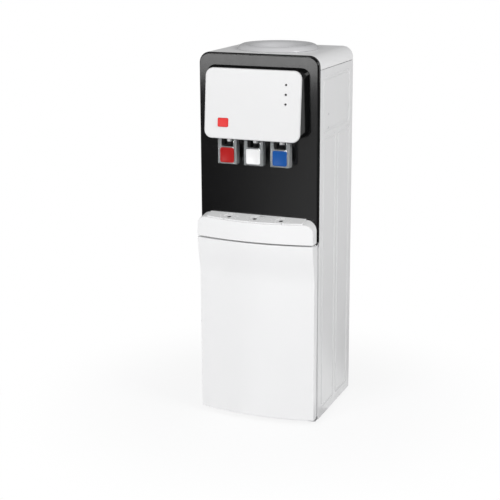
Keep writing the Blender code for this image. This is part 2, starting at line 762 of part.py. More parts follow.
def cabinet_liner():
    """The storage cabinet's moulded lining: an open box with a frame behind the side panels' folds."""
    frame_front = FRONT + SHEET + GAP
    frame_low = BASE + PAN_LIFT + PAN_WALL + GAP
    frame_high = SEAM_HEIGHT
    frame = prism("cabinet_liner", rounded(-LINER_FRAME, LINER_FRAME, frame_low, frame_high, 0), "front",
                  frame_front, frame_front + WALL, "white_plastic")
    shell = prism("liner_shell", rounded(-LINER_HALF, LINER_HALF, LINER_BOTTOM, LINER_TOP, LINER_RADIUS),
                  "front",
                  frame_front + WALL / 2, frame_front + LINER_DEPTH)
    room = prism("liner_room", rounded(*inset(-LINER_HALF, LINER_HALF, LINER_BOTTOM, LINER_TOP, WALL),
                                       LINER_RADIUS - WALL),
                 "front", frame_front - OVERRUN, frame_front + LINER_DEPTH - WALL)
    join(frame, shell)
    return cut(frame, room)


# Front above the tray

def plate_y(x, z):
    """The control plate's front surface: it leans forward towards its bottom edge."""
    share = (PLATE_TOP - z) / (PLATE_TOP - PLATE_BOTTOM)
    return FRONT - PLATE_TOP_PROUD - share * (PLATE_BOTTOM_PROUD - PLATE_TOP_PROUD)


def behind_plate(depth):
    """A surface that lies a depth behind the control plate's front."""
    return lambda x, z: plate_y(x, z) + depth


def fascia():
    """The flat black panel above the tray: hollow behind, with a thin flange out to the cabinet's edge."""
    face = (-FACE_HALF, FACE_HALF, FASCIA_LOW + FASCIA_FLANGE, TOP - FRONT_INSET)
    outline = rounded(*face, (0, 0, FACE_RADIUS, FACE_RADIUS), steps=6)
    edge = rounded(-HALF, HALF, FASCIA_LOW, TOP, (0, 0, CORNER_RADIUS, CORNER_RADIUS), steps=6)
    body = loft("fascia", [
        (edge, FRONT - GAP), (edge, FRONT - FASCIA_FLANGE), (outline, FRONT - FASCIA_FLANGE),
        (outline, FASCIA_FRONT),
    ], "front", "black_plastic")
    inner_radii = (0, 0, FACE_RADIUS - WALL, FACE_RADIUS - WALL)
    hollow = prism("fascia_hollow", rounded(*inset(*face, WALL), inner_radii, steps=6), "front",
                   FASCIA_FRONT + WALL, FRONT + OVERRUN)
    hole = block("fascia_hole", (-POD_HOLE_HALF, FASCIA_FRONT - OVERRUN, POD_HOLE_LOW),
                 (POD_HOLE_HALF, FASCIA_FRONT + WALL + OVERRUN, POD_HOLE_HIGH))
    return cut(body, hollow, hole)


def pod_housing():
    """The black box behind the control plate, open at the back, with a gap in its floor for each tap."""
    base = (-POD_BASE_HALF, POD_BASE_HALF, POD_BASE_BOTTOM, POD_BASE_TOP)
    face = inset(-PLATE_HALF, PLATE_HALF, PLATE_BOTTOM, PLATE_TOP, POD_SHRINK)
    pod = loft("pod_housing", [
        (rounded(*base, PLATE_RADIUS), FASCIA_FRONT - GAP),
        (rounded(*face, PLATE_RADIUS), behind_plate(PLATE_THICK + GAP)),
    ], "front", "black_plastic")
    room = loft("pod_room", [
        (rounded(*inset(*base, WALL), PLATE_RADIUS - WALL), FASCIA_FRONT + OVERRUN),
        (rounded(*inset(*face, WALL), PLATE_RADIUS - WALL), behind_plate(PLATE_THICK + WALL)),
    ], "front")
    cut(pod, room)
    for x in TAP_XS:
        cut(pod, block("tap_gap", (x - TAP_GAP_HALF, TAP_FRONT - TAP_GAP_MARGIN, PLATE_BOTTOM - OVERRUN),
                       (x + TAP_GAP_HALF, TAP_BACK + TAP_GAP_MARGIN, POD_BASE_BOTTOM + 2 * WALL)))
    cut(pod, button_well("pod_button_hole"))
    cut(pod, rod_behind("pod_light_hole"))
    return pod


def button_well(name):
    """A rectangular hole for the button, through whatever lies behind the plate's front."""
    side = BUTTON_WIDTH / 2 + GAP
    rise = BUTTON_HEIGHT / 2 + GAP
    depth = PLATE_THICK + WALL + BUTTON_DEPTH
    front = plate_y(0, BUTTON_Z)
    return prism(name, rounded(BUTTON_X - side, BUTTON_X + side, BUTTON_Z - rise, BUTTON_Z + rise, 2 * GAP,
                               2), "front",
                 front - OVERRUN * 2, front + depth)


def rod_behind(name):
    """A slot for the light pipe's three prongs, through the pod's front wall."""
    side = DOT_RADIUS + GAP
    front = plate_y(0, DOT_Z[1])
    return block(name, (DOT_X - side, front, DOT_Z[-1] - side - GAP),
                 (DOT_X + side, front + PLATE_THICK + WALL + BUTTON_DEPTH, DOT_Z[0] + side + GAP))


def control_plate():
    """The white front plate: a slab that leans forward at its foot, with round front edges."""
    outline = (-PLATE_HALF, PLATE_HALF, PLATE_BOTTOM, PLATE_TOP)
    plate = loft("control_plate", [
        (rounded(*outline, PLATE_RADIUS, steps=6), behind_plate(PLATE_THICK)),
        (rounded(*outline, PLATE_RADIUS, steps=6), behind_plate(PLATE_EDGE)),
        (rounded(*inset(*outline, PLATE_EDGE), PLATE_RADIUS - PLATE_EDGE, steps=6), plate_y),
    ], "front", "white_plastic")
    cut(plate, button_well("plate_button_hole"))
    for z in DOT_Z:
        y = plate_y(0, z)
        cut(plate, rod("dot_hole", DOT_RADIUS + GAP, (DOT_X, y - OVERRUN, z),
                       (DOT_X, y + PLATE_THICK + OVERRUN, z), sides=12))
    return plate


def indicator_light_pipe():
    """One smoked clear moulding with three prongs, which show as dots in the plate, on a bar before the lamps."""
    back = plate_y(0, DOT_Z[0]) + PLATE_THICK + WALL + GAP
    half = DOT_RADIUS + PIPE_MARGIN
    bar = block("indicator_light_pipe", (DOT_X - half, back, DOT_Z[-1] - half),
                (DOT_X + half, back + BOARD_GAP, DOT_Z[0] + half), "smoked_plastic")
    for z in DOT_Z:
        join(bar, rod("prong", DOT_RADIUS, (DOT_X, plate_y(0, z), z), (DOT_X, back + BOARD_GAP / 2, z),
                      sides=12))
    return bar


def indicator_board():
    """The small circuit board behind the light pipe and the button's switch."""
    front = plate_y(0, DOT_Z[0]) + PLATE_THICK + WALL + 2 * GAP + BOARD_GAP
    board = block("indicator_board", (BUTTON_X - BUTTON_WIDTH, front, BOARD_LOW),
                  (DOT_X + BOARD_GAP, front + BOARD_THICK, DOT_Z[0] + BOARD_GAP), "circuit_green")
    return board


def hot_lock_button():
    """The red child-lock button, which is pushed straight in through the plate."""
    side = BUTTON_WIDTH / 2
    rise = BUTTON_HEIGHT / 2
    outline = (BUTTON_X - side, BUTTON_X + side, BUTTON_Z - rise, BUTTON_Z + rise)
    return loft("hot_lock_button", [
        (rounded(*outline, BUTTON_EDGE, 2), plate_y(0, BUTTON_Z) + BUTTON_DEPTH),
        (rounded(*outline, BUTTON_EDGE, 2), behind_plate(BUTTON_EDGE - BUTTON_STAND)),
        (rounded(*inset(*outline, BUTTON_EDGE / 2), BUTTON_EDGE / 2, 2), behind_plate(-BUTTON_STAND)),
    ], "front", "red_plastic")


# Taps

def tap_body(name, x):
    """A white tap: a block with a nozzle below, a bore for the stem, a side port and a hose barb."""
    body = block(name, (x - TAP_WIDTH / 2, TAP_FRONT, TAP_LOW), (x + TAP_WIDTH / 2, TAP_BACK, TAP_HIGH),
                 "white_plastic")
    nozzle = rod(name + "_nozzle", NOZZLE_RADIUS, (x, BORE_Y, NOZZLE_LOW), (x, BORE_Y, TAP_LOW + OVERRUN))
    barb = rod(name + "_barb", BARB_RADIUS, (x, TAP_BACK - OVERRUN, PORT_Z),
               (x, TAP_BACK + BARB_LENGTH, PORT_Z))
    join(body, nozzle, barb)
    bore = rod(name + "_bore", BORE_RADIUS, (x, BORE_Y, NOZZLE_LOW - OVERRUN), (x, BORE_Y, TAP_HIGH - WALL))
    guide = rod(name + "_guide", STEM_RADIUS + GAP, (x, BORE_Y, TAP_HIGH - 2 * WALL),
                (x, BORE_Y, TAP_HIGH + OVERRUN), sides=12)
    port = rod(name + "_port", PORT_RADIUS, (x, BORE_Y, PORT_Z),
               (x, TAP_BACK + BARB_LENGTH + OVERRUN, PORT_Z), sides=12)
    pin_hole = rod(name + "_pin_hole", PIN_RADIUS + GAP, (x - TAP_WIDTH, PIN_Y, PIN_Z),
                   (x + TAP_WIDTH, PIN_Y, PIN_Z), sides=12)
    return cut(body, bore, guide, port, pin_hole)


def valve_stem(name, x):
    """The stem that closes the nozzle with its head, and is lifted by the paddle."""
    low = NOZZLE_LOW + STEM_HEAD
    profile = [
        (0, STEM_TOP), (STEM_HEAD_RADIUS, STEM_TOP), (STEM_HEAD_RADIUS, STEM_TOP - STEM_RADIUS),
        (STEM_RADIUS, STEM_TOP - STEM_RADIUS), (STEM_RADIUS, low + STEM_HEAD),
        (STEM_HEAD_RADIUS, low + STEM_HEAD), (STEM_HEAD_RADIUS, low), (0, low),
    ]
    return turned(name, profile, (x, BORE_Y), "grey_plastic", sides=12)


def paddle(name, x):
    """A clear lever: a notched front, a side wing each way, and two arms up to the pin."""
    back = PADDLE_FRONT + PADDLE_DEPTH
    arm_top = PIN_Z + PIN_RADIUS + PADDLE_THICK
    arm_front = PIN_Y - PIN_RADIUS - PADDLE_THICK
    half = PADDLE_WIDTH / 2
    wing = [
        (PADDLE_FRONT, PADDLE_LOW), (back - PADDLE_RADIUS, PADDLE_LOW),
        (back, PADDLE_LOW + PADDLE_RADIUS), (back, PADDLE_NOTCH_LOW),
        (PIN_Y + PADDLE_ARM, TAP_LOW - PADDLE_THICK), (PIN_Y + PADDLE_ARM / 2, arm_top),
        (arm_front, arm_top), (PADDLE_FRONT, TAP_LOW - 2 * PADDLE_THICK),
    ]
    lever = prism(name, wing, "side", x - half, x + half, "clear_plastic")
    inner_half = half - PADDLE_THICK
    hollow = prism(name + "_hollow", rounded(PADDLE_FRONT + PADDLE_THICK, back + OVERRUN,
                                             PADDLE_LOW + PADDLE_THICK,
                                             arm_top + OVERRUN, 0), "side", x - inner_half, x + inner_half)
    notch = prism(name + "_notch", rounded(x - PADDLE_NOTCH_HALF, x + PADDLE_NOTCH_HALF, PADDLE_NOTCH_LOW,
                                           arm_top + OVERRUN,
                                           (PADDLE_RADIUS, PADDLE_RADIUS, 0, 0)), "front",
                  PADDLE_FRONT - OVERRUN, PADDLE_FRONT + PADDLE_THICK + OVERRUN)
    throat = prism(name + "_throat", rounded(x - inner_half, x + inner_half, TAP_LOW - PADDLE_ARM,
                                             arm_top + OVERRUN, 0),
                   "front", PADDLE_FRONT - 2 * OVERRUN, PADDLE_FRONT + PADDLE_THICK + OVERRUN)
    pin_hole = rod(name + "_pin_hole", PIN_RADIUS + GAP, (x - PADDLE_WIDTH, PIN_Y, PIN_Z),
                   (x + PADDLE_WIDTH, PIN_Y, PIN_Z),
                   sides=12)
    cut(lever, hollow, notch, throat, pin_hole)
    pivot = bpy.data.objects.new(name + "_pivot", None)
    MODEL.objects.link(pivot)
    pivot.location = (x, PIN_Y, PIN_Z)
    return lever


def paddle_insert(name, x, colour):
    """The coloured tile on the front of a paddle."""
    face = rounded(x - INSERT_HALF, x + INSERT_HALF, INSERT_LOW, INSERT_HIGH, PADDLE_RADIUS)
    return prism(name, face, "front", PADDLE_FRONT - GAP - INSERT_THICK, PADDLE_FRONT - GAP, colour)


def paddle_pin(name, x):
    return rod(name, PIN_RADIUS, (x - PADDLE_WIDTH / 2, PIN_Y, PIN_Z), (x + PADDLE_WIDTH / 2, PIN_Y, PIN_Z),
               "steel", sides=12)


# Drip tray

def tray_plan(margin, half, back):
    """The tray's plan, which follows the crowned front at a margin behind it."""
    return crowned_plan(half, crown(half, FACE_HALF, HOUSING_EDGE, HOUSING_RISE) + margin,
                        HOUSING_RISE * (half / FACE_HALF) ** 2, back, steps=8)


def tray_housing():
    """The white shell round the drip tray: crowned in front, rounded down at its sides, open behind."""
    plan = crowned_plan(FACE_HALF, HOUSING_EDGE, HOUSING_RISE, FASCIA_FRONT - GAP, HOUSING_CORNER)
    housing = prism("tray_housing", plan, "plan", FASCIA_LOW, HOUSING_HIGH, "white_plastic")
    face = rounded(-FACE_HALF - OVERRUN, FACE_HALF + OVERRUN, FASCIA_LOW - OVERRUN, HOUSING_HIGH,
                   (0, 0, HOUSING_RADIUS, HOUSING_RADIUS), steps=6)
    boolean(housing, prism("housing_face", face, "front", FRONT - PROUD - OVERRUN, FRONT), "INTERSECT")
    well = prism("tray_well", tray_plan(TRAY_MARGIN - GAP, TRAY_HALF + GAP, FRONT), "plan",
                 TRAY_LOW - GAP, HOUSING_HIGH + OVERRUN)
    inner = FACE_HALF - HOUSING_WALL
    below = prism("housing_hollow", tray_plan(HOUSING_WALL, inner, FRONT), "plan",
                  FASCIA_LOW + HOUSING_WALL, TRAY_LOW - GAP - HOUSING_WALL)
    cut(housing, well, below)
    for side in (-1, 1):
        xs = sorted((side * (TRAY_HALF + GAP + HOUSING_WALL), side * inner))
        pocket = block("housing_pocket", (xs[0], HOUSING_EDGE + HOUSING_WALL, FASCIA_LOW + HOUSING_WALL),
                       (xs[1], FRONT, HOUSING_HIGH - HOUSING_RADIUS))
        cut(housing, pocket)
    return housing


def drip_tray():
    """The white tray that catches drips and lifts out."""
    back = FASCIA_FRONT - 2 * GAP
    tray = prism("drip_tray", tray_plan(TRAY_MARGIN, TRAY_HALF, back), "plan", TRAY_LOW, TRAY_HIGH,
                 "white_plastic")
    room = prism("tray_room", tray_plan(TRAY_MARGIN + TRAY_WALL, TRAY_HALF - TRAY_WALL, back - TRAY_WALL),
                 "plan",
                 TRAY_LOW + TRAY_WALL, TRAY_HIGH + OVERRUN)
    return cut(tray, room)


def drip_grille():
    """The flat grille that lies over the tray's rim, with a rosette of holes under each tap."""
    back = FASCIA_FRONT - 2 * GAP
    low = TRAY_HIGH + GAP
    grille = prism("drip_grille", tray_plan(GRILLE_MARGIN, GRILLE_HALF, back), "plan", low,
                   low + GRILLE_THICK, "white_plastic")
    middle = (crown(0, FACE_HALF, HOUSING_EDGE, HOUSING_RISE) + TRAY_MARGIN + back) / 2
    holes = None
    for i in range(len(TAP_NAMES)):
        x = (i - (len(TAP_NAMES) - 1) / 2) * ROSETTE_PITCH
        spots = [(x, middle, ROSETTE_HOLE)]
        for k in range(RING_COUNT):
            turn = 2 * math.pi * k / RING_COUNT
            spots.append((x + ROSETTE_RING * math.cos(turn), middle + ROSETTE_RING * math.sin(turn),
                          RING_HOLE))
        for px, py, radius in spots:
            hole = rod("grille_hole", radius, (px, py, low - OVERRUN),
                       (px, py, low + GRILLE_THICK + OVERRUN), sides=10)
            cut(grille, hole)
    return grille


# Door

def door_front_y(x, z):
    """The door's front: crowned across, and flared forward towards its top to meet the tray housing."""
    over = max(0, z - (DOOR_HIGH - FLARE_HEIGHT)) / FLARE_HEIGHT
    ease = over * over * (3 - 2 * over)
    return crown(x, FACE_HALF, DOOR_EDGE, DOOR_RISE) - DOOR_FLARE * ease


def door_skin(name, margin, back, colour=None):
    """A closed solid from the door's curved front to a flat back, all sides drawn in by a margin."""
    half = FACE_HALF - margin
    low = DOOR_LOW + margin
    high = DOOR_HIGH - margin
    heights = [low] + [high - FLARE_HEIGHT + FLARE_HEIGHT * i / DOOR_ROWS for i in range(DOOR_ROWS + 1)]
    xs = [-half + 2 * half * i / DOOR_COLUMNS for i in range(DOOR_COLUMNS + 1)]
    work = bmesh.new()
    bmesh.ops.create_grid(work, x_segments=DOOR_COLUMNS, y_segments=len(heights) - 1, size=1)
    for vert in work.verts:
        column = round((vert.co.x + 1) / 2 * DOOR_COLUMNS)
        row = round((vert.co.y + 1) / 2 * (len(heights) - 1))
        x, z = xs[column], heights[row]
        vert.co = (x, door_front_y(x, z) + margin, z)
    rim = [edge for edge in work.edges if edge.is_boundary]
    grown = bmesh.ops.extrude_edge_only(work, edges=rim)["geom"]
    for vert in (item for item in grown if isinstance(item, bmesh.types.BMVert)):
        vert.co.y = back
    bmesh.ops.holes_fill(work, edges=[edge for edge in work.edges if edge.is_boundary])
    bmesh.ops.recalc_face_normals(work, faces=work.faces)
    mesh = bpy.data.meshes.new(name)
    work.to_mesh(mesh)
    work.free()
    obj = bpy.data.objects.new(name, mesh)
    bpy.context.scene.collection.objects.link(obj)
    return place(obj, name, colour)


def door_outer():
    """The door's moulded outer shell, open at the back."""
    shell = door_skin("door_outer", 0, DOOR_BACK, "white_plastic")
    room = door_skin("door_room", DOOR_WALL, DOOR_BACK + OVERRUN)
    cut(shell, room)
    for low, high in ((DOOR_LOW, DOOR_LOW + DOOR_WALL), (DOOR_HIGH - DOOR_WALL, DOOR_HIGH)):
        cut(shell, rod("hinge_hole", HINGE_PIN + GAP, (HINGE_X, HINGE_Y, low - OVERRUN),
                       (HINGE_X, HINGE_Y, high + OVERRUN)))
    grip = block("finger_grip", (-FACE_HALF - OVERRUN, DOOR_BACK - GRIP_DEPTH, GRIP_Z - GRIP_LENGTH / 2),
                 (-FACE_HALF + DOOR_WALL + OVERRUN, DOOR_BACK + OVERRUN, GRIP_Z + GRIP_LENGTH / 2))
    return cut(shell, grip)


def door_inner():
    """The door's inner panel: a sheet across the shell's back, dished towards the front."""
    edge = DOOR_WALL + GAP
    outer = (-FACE_HALF + edge, FACE_HALF - edge, DOOR_LOW + edge, DOOR_HIGH - edge)
    back = DOOR_BACK - GAP
    panel = prism("door_inner", rounded(*outer, 0), "front", back - DOOR_INNER_THICK, back, "white_plastic")
    dish = inset(*outer, INNER_MARGIN)
    bump = loft("inner_bump", [
        (rounded(*dish, EMBOSS_RADIUS), back - DOOR_INNER_THICK / 2),
        (rounded(*inset(*dish, EMBOSS_SLOPE), EMBOSS_RADIUS / 2), back - INNER_DISH),
    ], "front")
    hollow = loft("inner_dish", [
        (rounded(*inset(*dish, DOOR_INNER_THICK), EMBOSS_RADIUS), back + OVERRUN),
        (rounded(*inset(*dish, DOOR_INNER_THICK), EMBOSS_RADIUS), back - DOOR_INNER_THICK / 2),
        (rounded(*inset(*dish, EMBOSS_SLOPE + DOOR_INNER_THICK), EMBOSS_RADIUS / 2),
         back - INNER_DISH + DOOR_INNER_THICK),
    ], "front")
    join(panel, bump)
    return cut(panel, hollow)


def door_gasket():
    """The soft frame between the door and the cabinet."""
    outer = (-FACE_HALF + GASKET_OUTER * 2, FACE_HALF - GASKET_OUTER * 3, LINER_BOTTOM - GASKET_WIDTH,
             LINER_TOP + GASKET_OUTER)
    ring = prism("door_gasket", rounded(*outer, GASKET_WIDTH), "front", DOOR_BACK, FRONT - GAP,
                 "gasket_rubber")
    hole = prism("gasket_hole", rounded(*inset(*outer, GASKET_WIDTH), GASKET_WIDTH / 2), "front",
                 DOOR_BACK - OVERRUN, FRONT + OVERRUN)
    return cut(ring, hole)


def hinge_bracket(name, plate_low, pin_from, pin_to, leg_low, leg_high):
    """A folded steel bracket on the cabinet's front fold, with its pin."""
    left = HINGE_X - HINGE_LEG
    right = HALF - GAP
    plate = block(name, (left, HINGE_Y - HINGE_REACH, plate_low),
                  (right, FRONT - GAP, plate_low + HINGE_PLATE), "steel")
    leg = block(name + "_leg", (left, FRONT - GAP - HINGE_PLATE, leg_low), (right, FRONT - GAP, leg_high))
    pin = rod(name + "_pin", HINGE_PIN, (HINGE_X, HINGE_Y, pin_from), (HINGE_X, HINGE_Y, pin_to))
    return join(plate, leg, pin)


def hinge_brackets():
    upper = DOOR_HIGH + GAP * 2
    hinge_bracket("hinge_bracket_upper", upper, DOOR_HIGH - PIN_LENGTH, upper + HINGE_PLATE / 2,
                  upper - LEG_HEIGHT, upper + HINGE_PLATE)
    lower = DOOR_LOW - GAP * 2 - HINGE_PLATE
    hinge_bracket("hinge_bracket_lower", lower, lower + HINGE_PLATE / 2, DOOR_LOW + PIN_LENGTH,
                  lower, lower + LEG_HEIGHT)


def door_catch():
    """The magnet catch on the lining's left wall."""
    left = -LINER_HALF + WALL + GAP
    front = FRONT + GAP
    return block("door_catch", (left, front, CATCH_Z - CATCH_LENGTH / 2),
                 (left + CATCH_WIDTH, front + CATCH_DEPTH, CATCH_Z + CATCH_LENGTH / 2), "grey_plastic")


# Bottle seat and tanks

def bottle_collar():
    """The moulded seat for the bottle: a domed ring, a dished mouth and a funnel down to the tank."""
    t = COLLAR_THICK
    seat = TOP + GAP
    profile = [
        (COLLAR_LIP, HEIGHT - COLLAR_LIP_DROP), (COLLAR_RIM - t, HEIGHT),
        (COLLAR_RIM + t, HEIGHT - t / 2), (COLLAR_RADIUS - t, seat + t), (COLLAR_RADIUS, seat),
        (COLLAR_SEAT, seat), (COLLAR_SEAT, seat - 2 * t), (COLLAR_SEAT - t, seat - 3 * t),
        (FUNNEL_RADIUS + t, FUNNEL_LOW + 2 * t), (FUNNEL_RADIUS, FUNNEL_LOW - FUNNEL_NECK),
        (FUNNEL_RADIUS - t, FUNNEL_LOW - FUNNEL_NECK), (FUNNEL_RADIUS - t, FUNNEL_LOW + 3 * t),
        (COLLAR_SEAT - 3 * t, seat - 2 * t), (COLLAR_LIP - t, seat),
    ]
    return turned("bottle_collar", profile, (0, MIDDLE), "collar_plastic", sides=36, closed=True)


def bottle_probe():
    """The spike in the funnel that opens the bottle's cap; it hangs from the funnel's neck by a flange."""
    neck = FUNNEL_LOW + 3 * COLLAR_THICK
    skirt = FUNNEL_RADIUS - COLLAR_THICK - GAP
    low = FUNNEL_LOW - FUNNEL_NECK
    profile = [
        (0, PROBE_TOP), (PROBE_BORE, PROBE_TOP - PROBE_BORE / 2),
        (PROBE_RADIUS, PROBE_TOP - 2 * PROBE_BORE), (PROBE_RADIUS, neck), (skirt, neck - COLLAR_THICK),
        (skirt, low), (skirt - COLLAR_THICK, low), (skirt - COLLAR_THICK, neck - 2 * COLLAR_THICK),
        (PROBE_RADIUS - COLLAR_THICK, neck - COLLAR_THICK), (PROBE_BORE, PROBE_TOP - 3 * PROBE_BORE),
        (0, PROBE_TOP - 3 * PROBE_BORE),
    ]
    probe = turned("bottle_probe", profile, (0, MIDDLE), "collar_plastic", sides=14)
    for k in range(2):
        turn = k * math.pi / 2
        dx, dy = PROBE_RADIUS * 2 * math.cos(turn), PROBE_RADIUS * 2 * math.sin(turn)
        z = (neck + PROBE_TOP) / 2 - PROBE_BORE
        cut(probe, rod("probe_hole", PROBE_BORE / 2, (-dx, MIDDLE - dy, z), (dx, MIDDLE + dy, z), sides=10))
    return probe


def cold_tank():
    """An open-topped steel tank under the funnel, with an outlet at its foot."""
    profile = [
        (TANK_RADIUS + TANK_FLANGE, TANK_HIGH), (TANK_RADIUS + TANK_FLANGE, TANK_HIGH - TANK_WALL),
        (TANK_RADIUS, TANK_HIGH - TANK_WALL), (TANK_RADIUS, TANK_LOW), (OUTLET_RADIUS, TANK_LOW),
        (OUTLET_RADIUS, OUTLET_LOW), (OUTLET_RADIUS - TANK_WALL, OUTLET_LOW),
        (OUTLET_RADIUS - TANK_WALL, TANK_LOW + TANK_WALL), (TANK_RADIUS - TANK_WALL, TANK_LOW + TANK_WALL),
        (TANK_RADIUS - TANK_WALL, TANK_HIGH),
    ]
    return turned("cold_tank", profile, (0, MIDDLE), "steel", sides=20, closed=True)


def cold_tank_insulation():
    """The foam cup round the cold tank; the tank's flange lies on its rim."""
    high = TANK_HIGH - TANK_WALL - GAP
    profile = [
        (FOAM_OUTER, high), (FOAM_OUTER, FOAM_LOW), (OUTLET_RADIUS + GAP, FOAM_LOW),
        (OUTLET_RADIUS + GAP, TANK_LOW - GAP), (FOAM_INNER, TANK_LOW - GAP), (FOAM_INNER, high),
    ]
    foam = turned("cold_tank_insulation", profile, (0, MIDDLE), "foam", sides=20, closed=True)
    for side, z in ((-1, COIL_LOW), (1, COIL_HIGH)):
        at = side * (COIL_CENTRE)
        cut(foam, rod("coil_hole", COIL_RADIUS * 2, (at, MIDDLE, z), (at, MIDDLE + FOAM_OUTER, z),
                      sides=12))
    return cut(foam, rod("room_hole", HOSE_RADIUS + GAP, (0, MIDDLE - FOAM_OUTER - OVERRUN, ROOM_PORT_Z),
                         (0, MIDDLE - TANK_RADIUS - GAP, ROOM_PORT_Z), sides=12))


def evaporator_coil():
    """The copper coil round the cold tank; its ends run back and down to the drier and compressor."""
    radius = COIL_CENTRE
    count = int(COIL_STEPS * (2 * COIL_TURNS + 1) / 2)
    points = [
        (-radius, LINE_Y, DRIER_HIGH + GAP),
        (-radius, LINE_Y, COIL_LOW - LINE_BEND),
        (-radius, LINE_Y - LINE_BEND / 3, COIL_LOW - LINE_BEND / 3),
        (-radius, LINE_Y - LINE_BEND, COIL_LOW),
    ]
    for i in range(count + 1):
        turn = math.pi + 2 * math.pi * i / COIL_STEPS
        z = COIL_LOW + (COIL_HIGH - COIL_LOW) * i / count
        points.append((radius * math.cos(turn), MIDDLE + radius * math.sin(turn), z))
    stub_y = COMPRESSOR_Y
    points += [
        (radius, LINE_Y - LINE_BEND, COIL_HIGH),
        (radius, LINE_Y - LINE_BEND / 3, COIL_HIGH - LINE_BEND / 3),
        (radius, LINE_Y, COIL_HIGH - LINE_BEND),
        (radius, LINE_Y, SUCTION_HIGH + LINE_BEND),
        (radius, LINE_Y - LINE_BEND / 3, SUCTION_HIGH + LINE_BEND / 3),
        (radius, LINE_Y - LINE_BEND, SUCTION_HIGH),
        (radius, stub_y + LINE_BEND / 2, SUCTION_HIGH),
        (radius, stub_y + LINE_BEND / 8, SUCTION_HIGH - LINE_BEND / 6),
        (radius, stub_y, SUCTION_HIGH - LINE_BEND / 2),
        (radius, stub_y, STUB_TOP + GAP),
    ]
    return tube("evaporator_coil", points, COIL_RADIUS, "copper", resolution=1)


def hot_tank():
    """The steel hot tank, with its outlet neck on top and its heater's boss below."""
    neck = OUTLET_RADIUS
    profile = [
        (neck, HOT_HIGH + HOT_DOME), (neck, HOT_HIGH), (HOT_RADIUS - HOT_DOME, HOT_HIGH),
        (HOT_RADIUS, HOT_HIGH - HOT_DOME), (HOT_RADIUS, HOT_LOW + HOT_DOME),
        (HOT_RADIUS - HOT_DOME, HOT_LOW), (HOT_BOSS, HOT_LOW), (HOT_BOSS, SHELF_LOW + SHEET + GAP),
        (neck, SHELF_LOW + SHEET + GAP), (neck, HOT_LOW + TANK_WALL),
        (HOT_RADIUS - HOT_DOME, HOT_LOW + TANK_WALL), (HOT_RADIUS - TANK_WALL, HOT_LOW + HOT_DOME),
        (HOT_RADIUS - TANK_WALL, HOT_HIGH - HOT_DOME), (HOT_RADIUS - HOT_DOME, HOT_HIGH - TANK_WALL),
        (neck - TANK_WALL, HOT_HIGH - TANK_WALL), (neck - TANK_WALL, HOT_HIGH + HOT_DOME),
    ]
    return turned("hot_tank", profile, (HOT_X, HOT_Y), "steel", sides=18, closed=True)


def tank_shelf():
    """The steel shelf between the storage cabinet and the tanks."""
    edge = HALF - SHEET - EMBOSS_DEPTH - GAP
    front = FRONT + SHEET + WALL + 2 * GAP
    back = BACK - SHELF_BACK
    return block("tank_shelf", (-edge, front, SHELF_LOW), (edge, back, SHELF_LOW + SHEET), "steel")


def tank_stand():
    """The folded steel stand on the shelf that carries the cold tank in its foam."""
    low = SHELF_LOW + SHEET + GAP
    high = FOAM_LOW - GAP
    outline = [
        (-STAND_HALF_X, low), (-STAND_HALF_X + SHEET, low), (-STAND_HALF_X + SHEET, high - SHEET),
        (STAND_HALF_X - SHEET, high - SHEET), (STAND_HALF_X - SHEET, low), (STAND_HALF_X, low),
        (STAND_HALF_X, high), (-STAND_HALF_X, high),
    ]
    stand = prism("tank_stand", outline, "front", MIDDLE - STAND_HALF_Y, MIDDLE + STAND_HALF_Y, "steel")
    return cut(stand, rod("outlet_hole", OUTLET_RADIUS + GAP * 2, (0, MIDDLE, high - SHEET - OVERRUN),
                          (0, MIDDLE, high + OVERRUN)))


def smooth_path(knots, steps):
    """A smooth curve through its knots, as evenly cut Catmull-Rom stretches."""
    ends = [knots[0]] + knots + [knots[-1]]
    points = []
    for i in range(1, len(ends) - 2):
        a, b, c, d = ends[i - 1:i + 3]
        for k in range(steps):
            t = k / steps
            points.append(tuple(
                (2 * b[n] + (c[n] - a[n]) * t + (2 * a[n] - 5 * b[n] + 4 * c[n] - d[n]) * t * t
                 + (3 * b[n] - a[n] - 3 * c[n] + d[n]) * t ** 3) / 2 for n in range(3)))
    return points + [knots[-1]]


def hose(name, x, rest):
    """A silicone hose from a tap's barb, straight back first, then through the places given."""
    start = TAP_BACK + BARB_LENGTH + GAP
    knots = [(x, start, PORT_Z), (x, start + HOSE_LEAD, PORT_Z)] + rest
    return tube(name, [knots[0]] + smooth_path(knots[1:-1], HOSE_STEPS) + [knots[-1]], HOSE_RADIUS,
                "silicone", resolution=1)


def hoses():
    start = TAP_BACK + BARB_LENGTH + GAP
    drop_y = start + 2 * HOSE_LEAD
    under = OUTLET_LOW - GAP
    hose("hose_cold", TAP_XS[2], [
        (TAP_XS[2], drop_y, PORT_Z - HOSE_LEAD),
        (TAP_XS[2], drop_y + GAP, PORT_Z - HOSE_DROP),
        (TAP_XS[2] * COLD_BEND_SHARE, (drop_y + MIDDLE) / 2, under - COLD_BEND_DROP),
        (0, MIDDLE, under - HOSE_LEAD),
        (0, MIDDLE, under),
    ])
    neck = HOT_HIGH + HOT_DOME + GAP
    hose("hose_hot", TAP_XS[0], [
        (TAP_XS[0], drop_y, PORT_Z - HOSE_LEAD),
        (HOT_X, drop_y + GAP, PORT_Z - HOSE_DROP),
        (HOT_X, (drop_y + HOT_Y) / 2, neck + HOT_BEND_RISE),
        (HOT_X, HOT_Y, neck + HOSE_LEAD),
        (HOT_X, HOT_Y, neck),
    ])
    hose("hose_room", TAP_XS[1], [
        (TAP_XS[1], drop_y - HOSE_LEAD / 2, (PORT_Z + ROOM_PORT_Z) / 2),
        (TAP_XS[1], drop_y + HOSE_LEAD / 2, ROOM_PORT_Z),
        (TAP_XS[1], MIDDLE - FOAM_OUTER, ROOM_PORT_Z),
        (TAP_XS[1], MIDDLE - TANK_RADIUS - 2 * GAP, ROOM_PORT_Z),
    ])


# Cooling and electrics

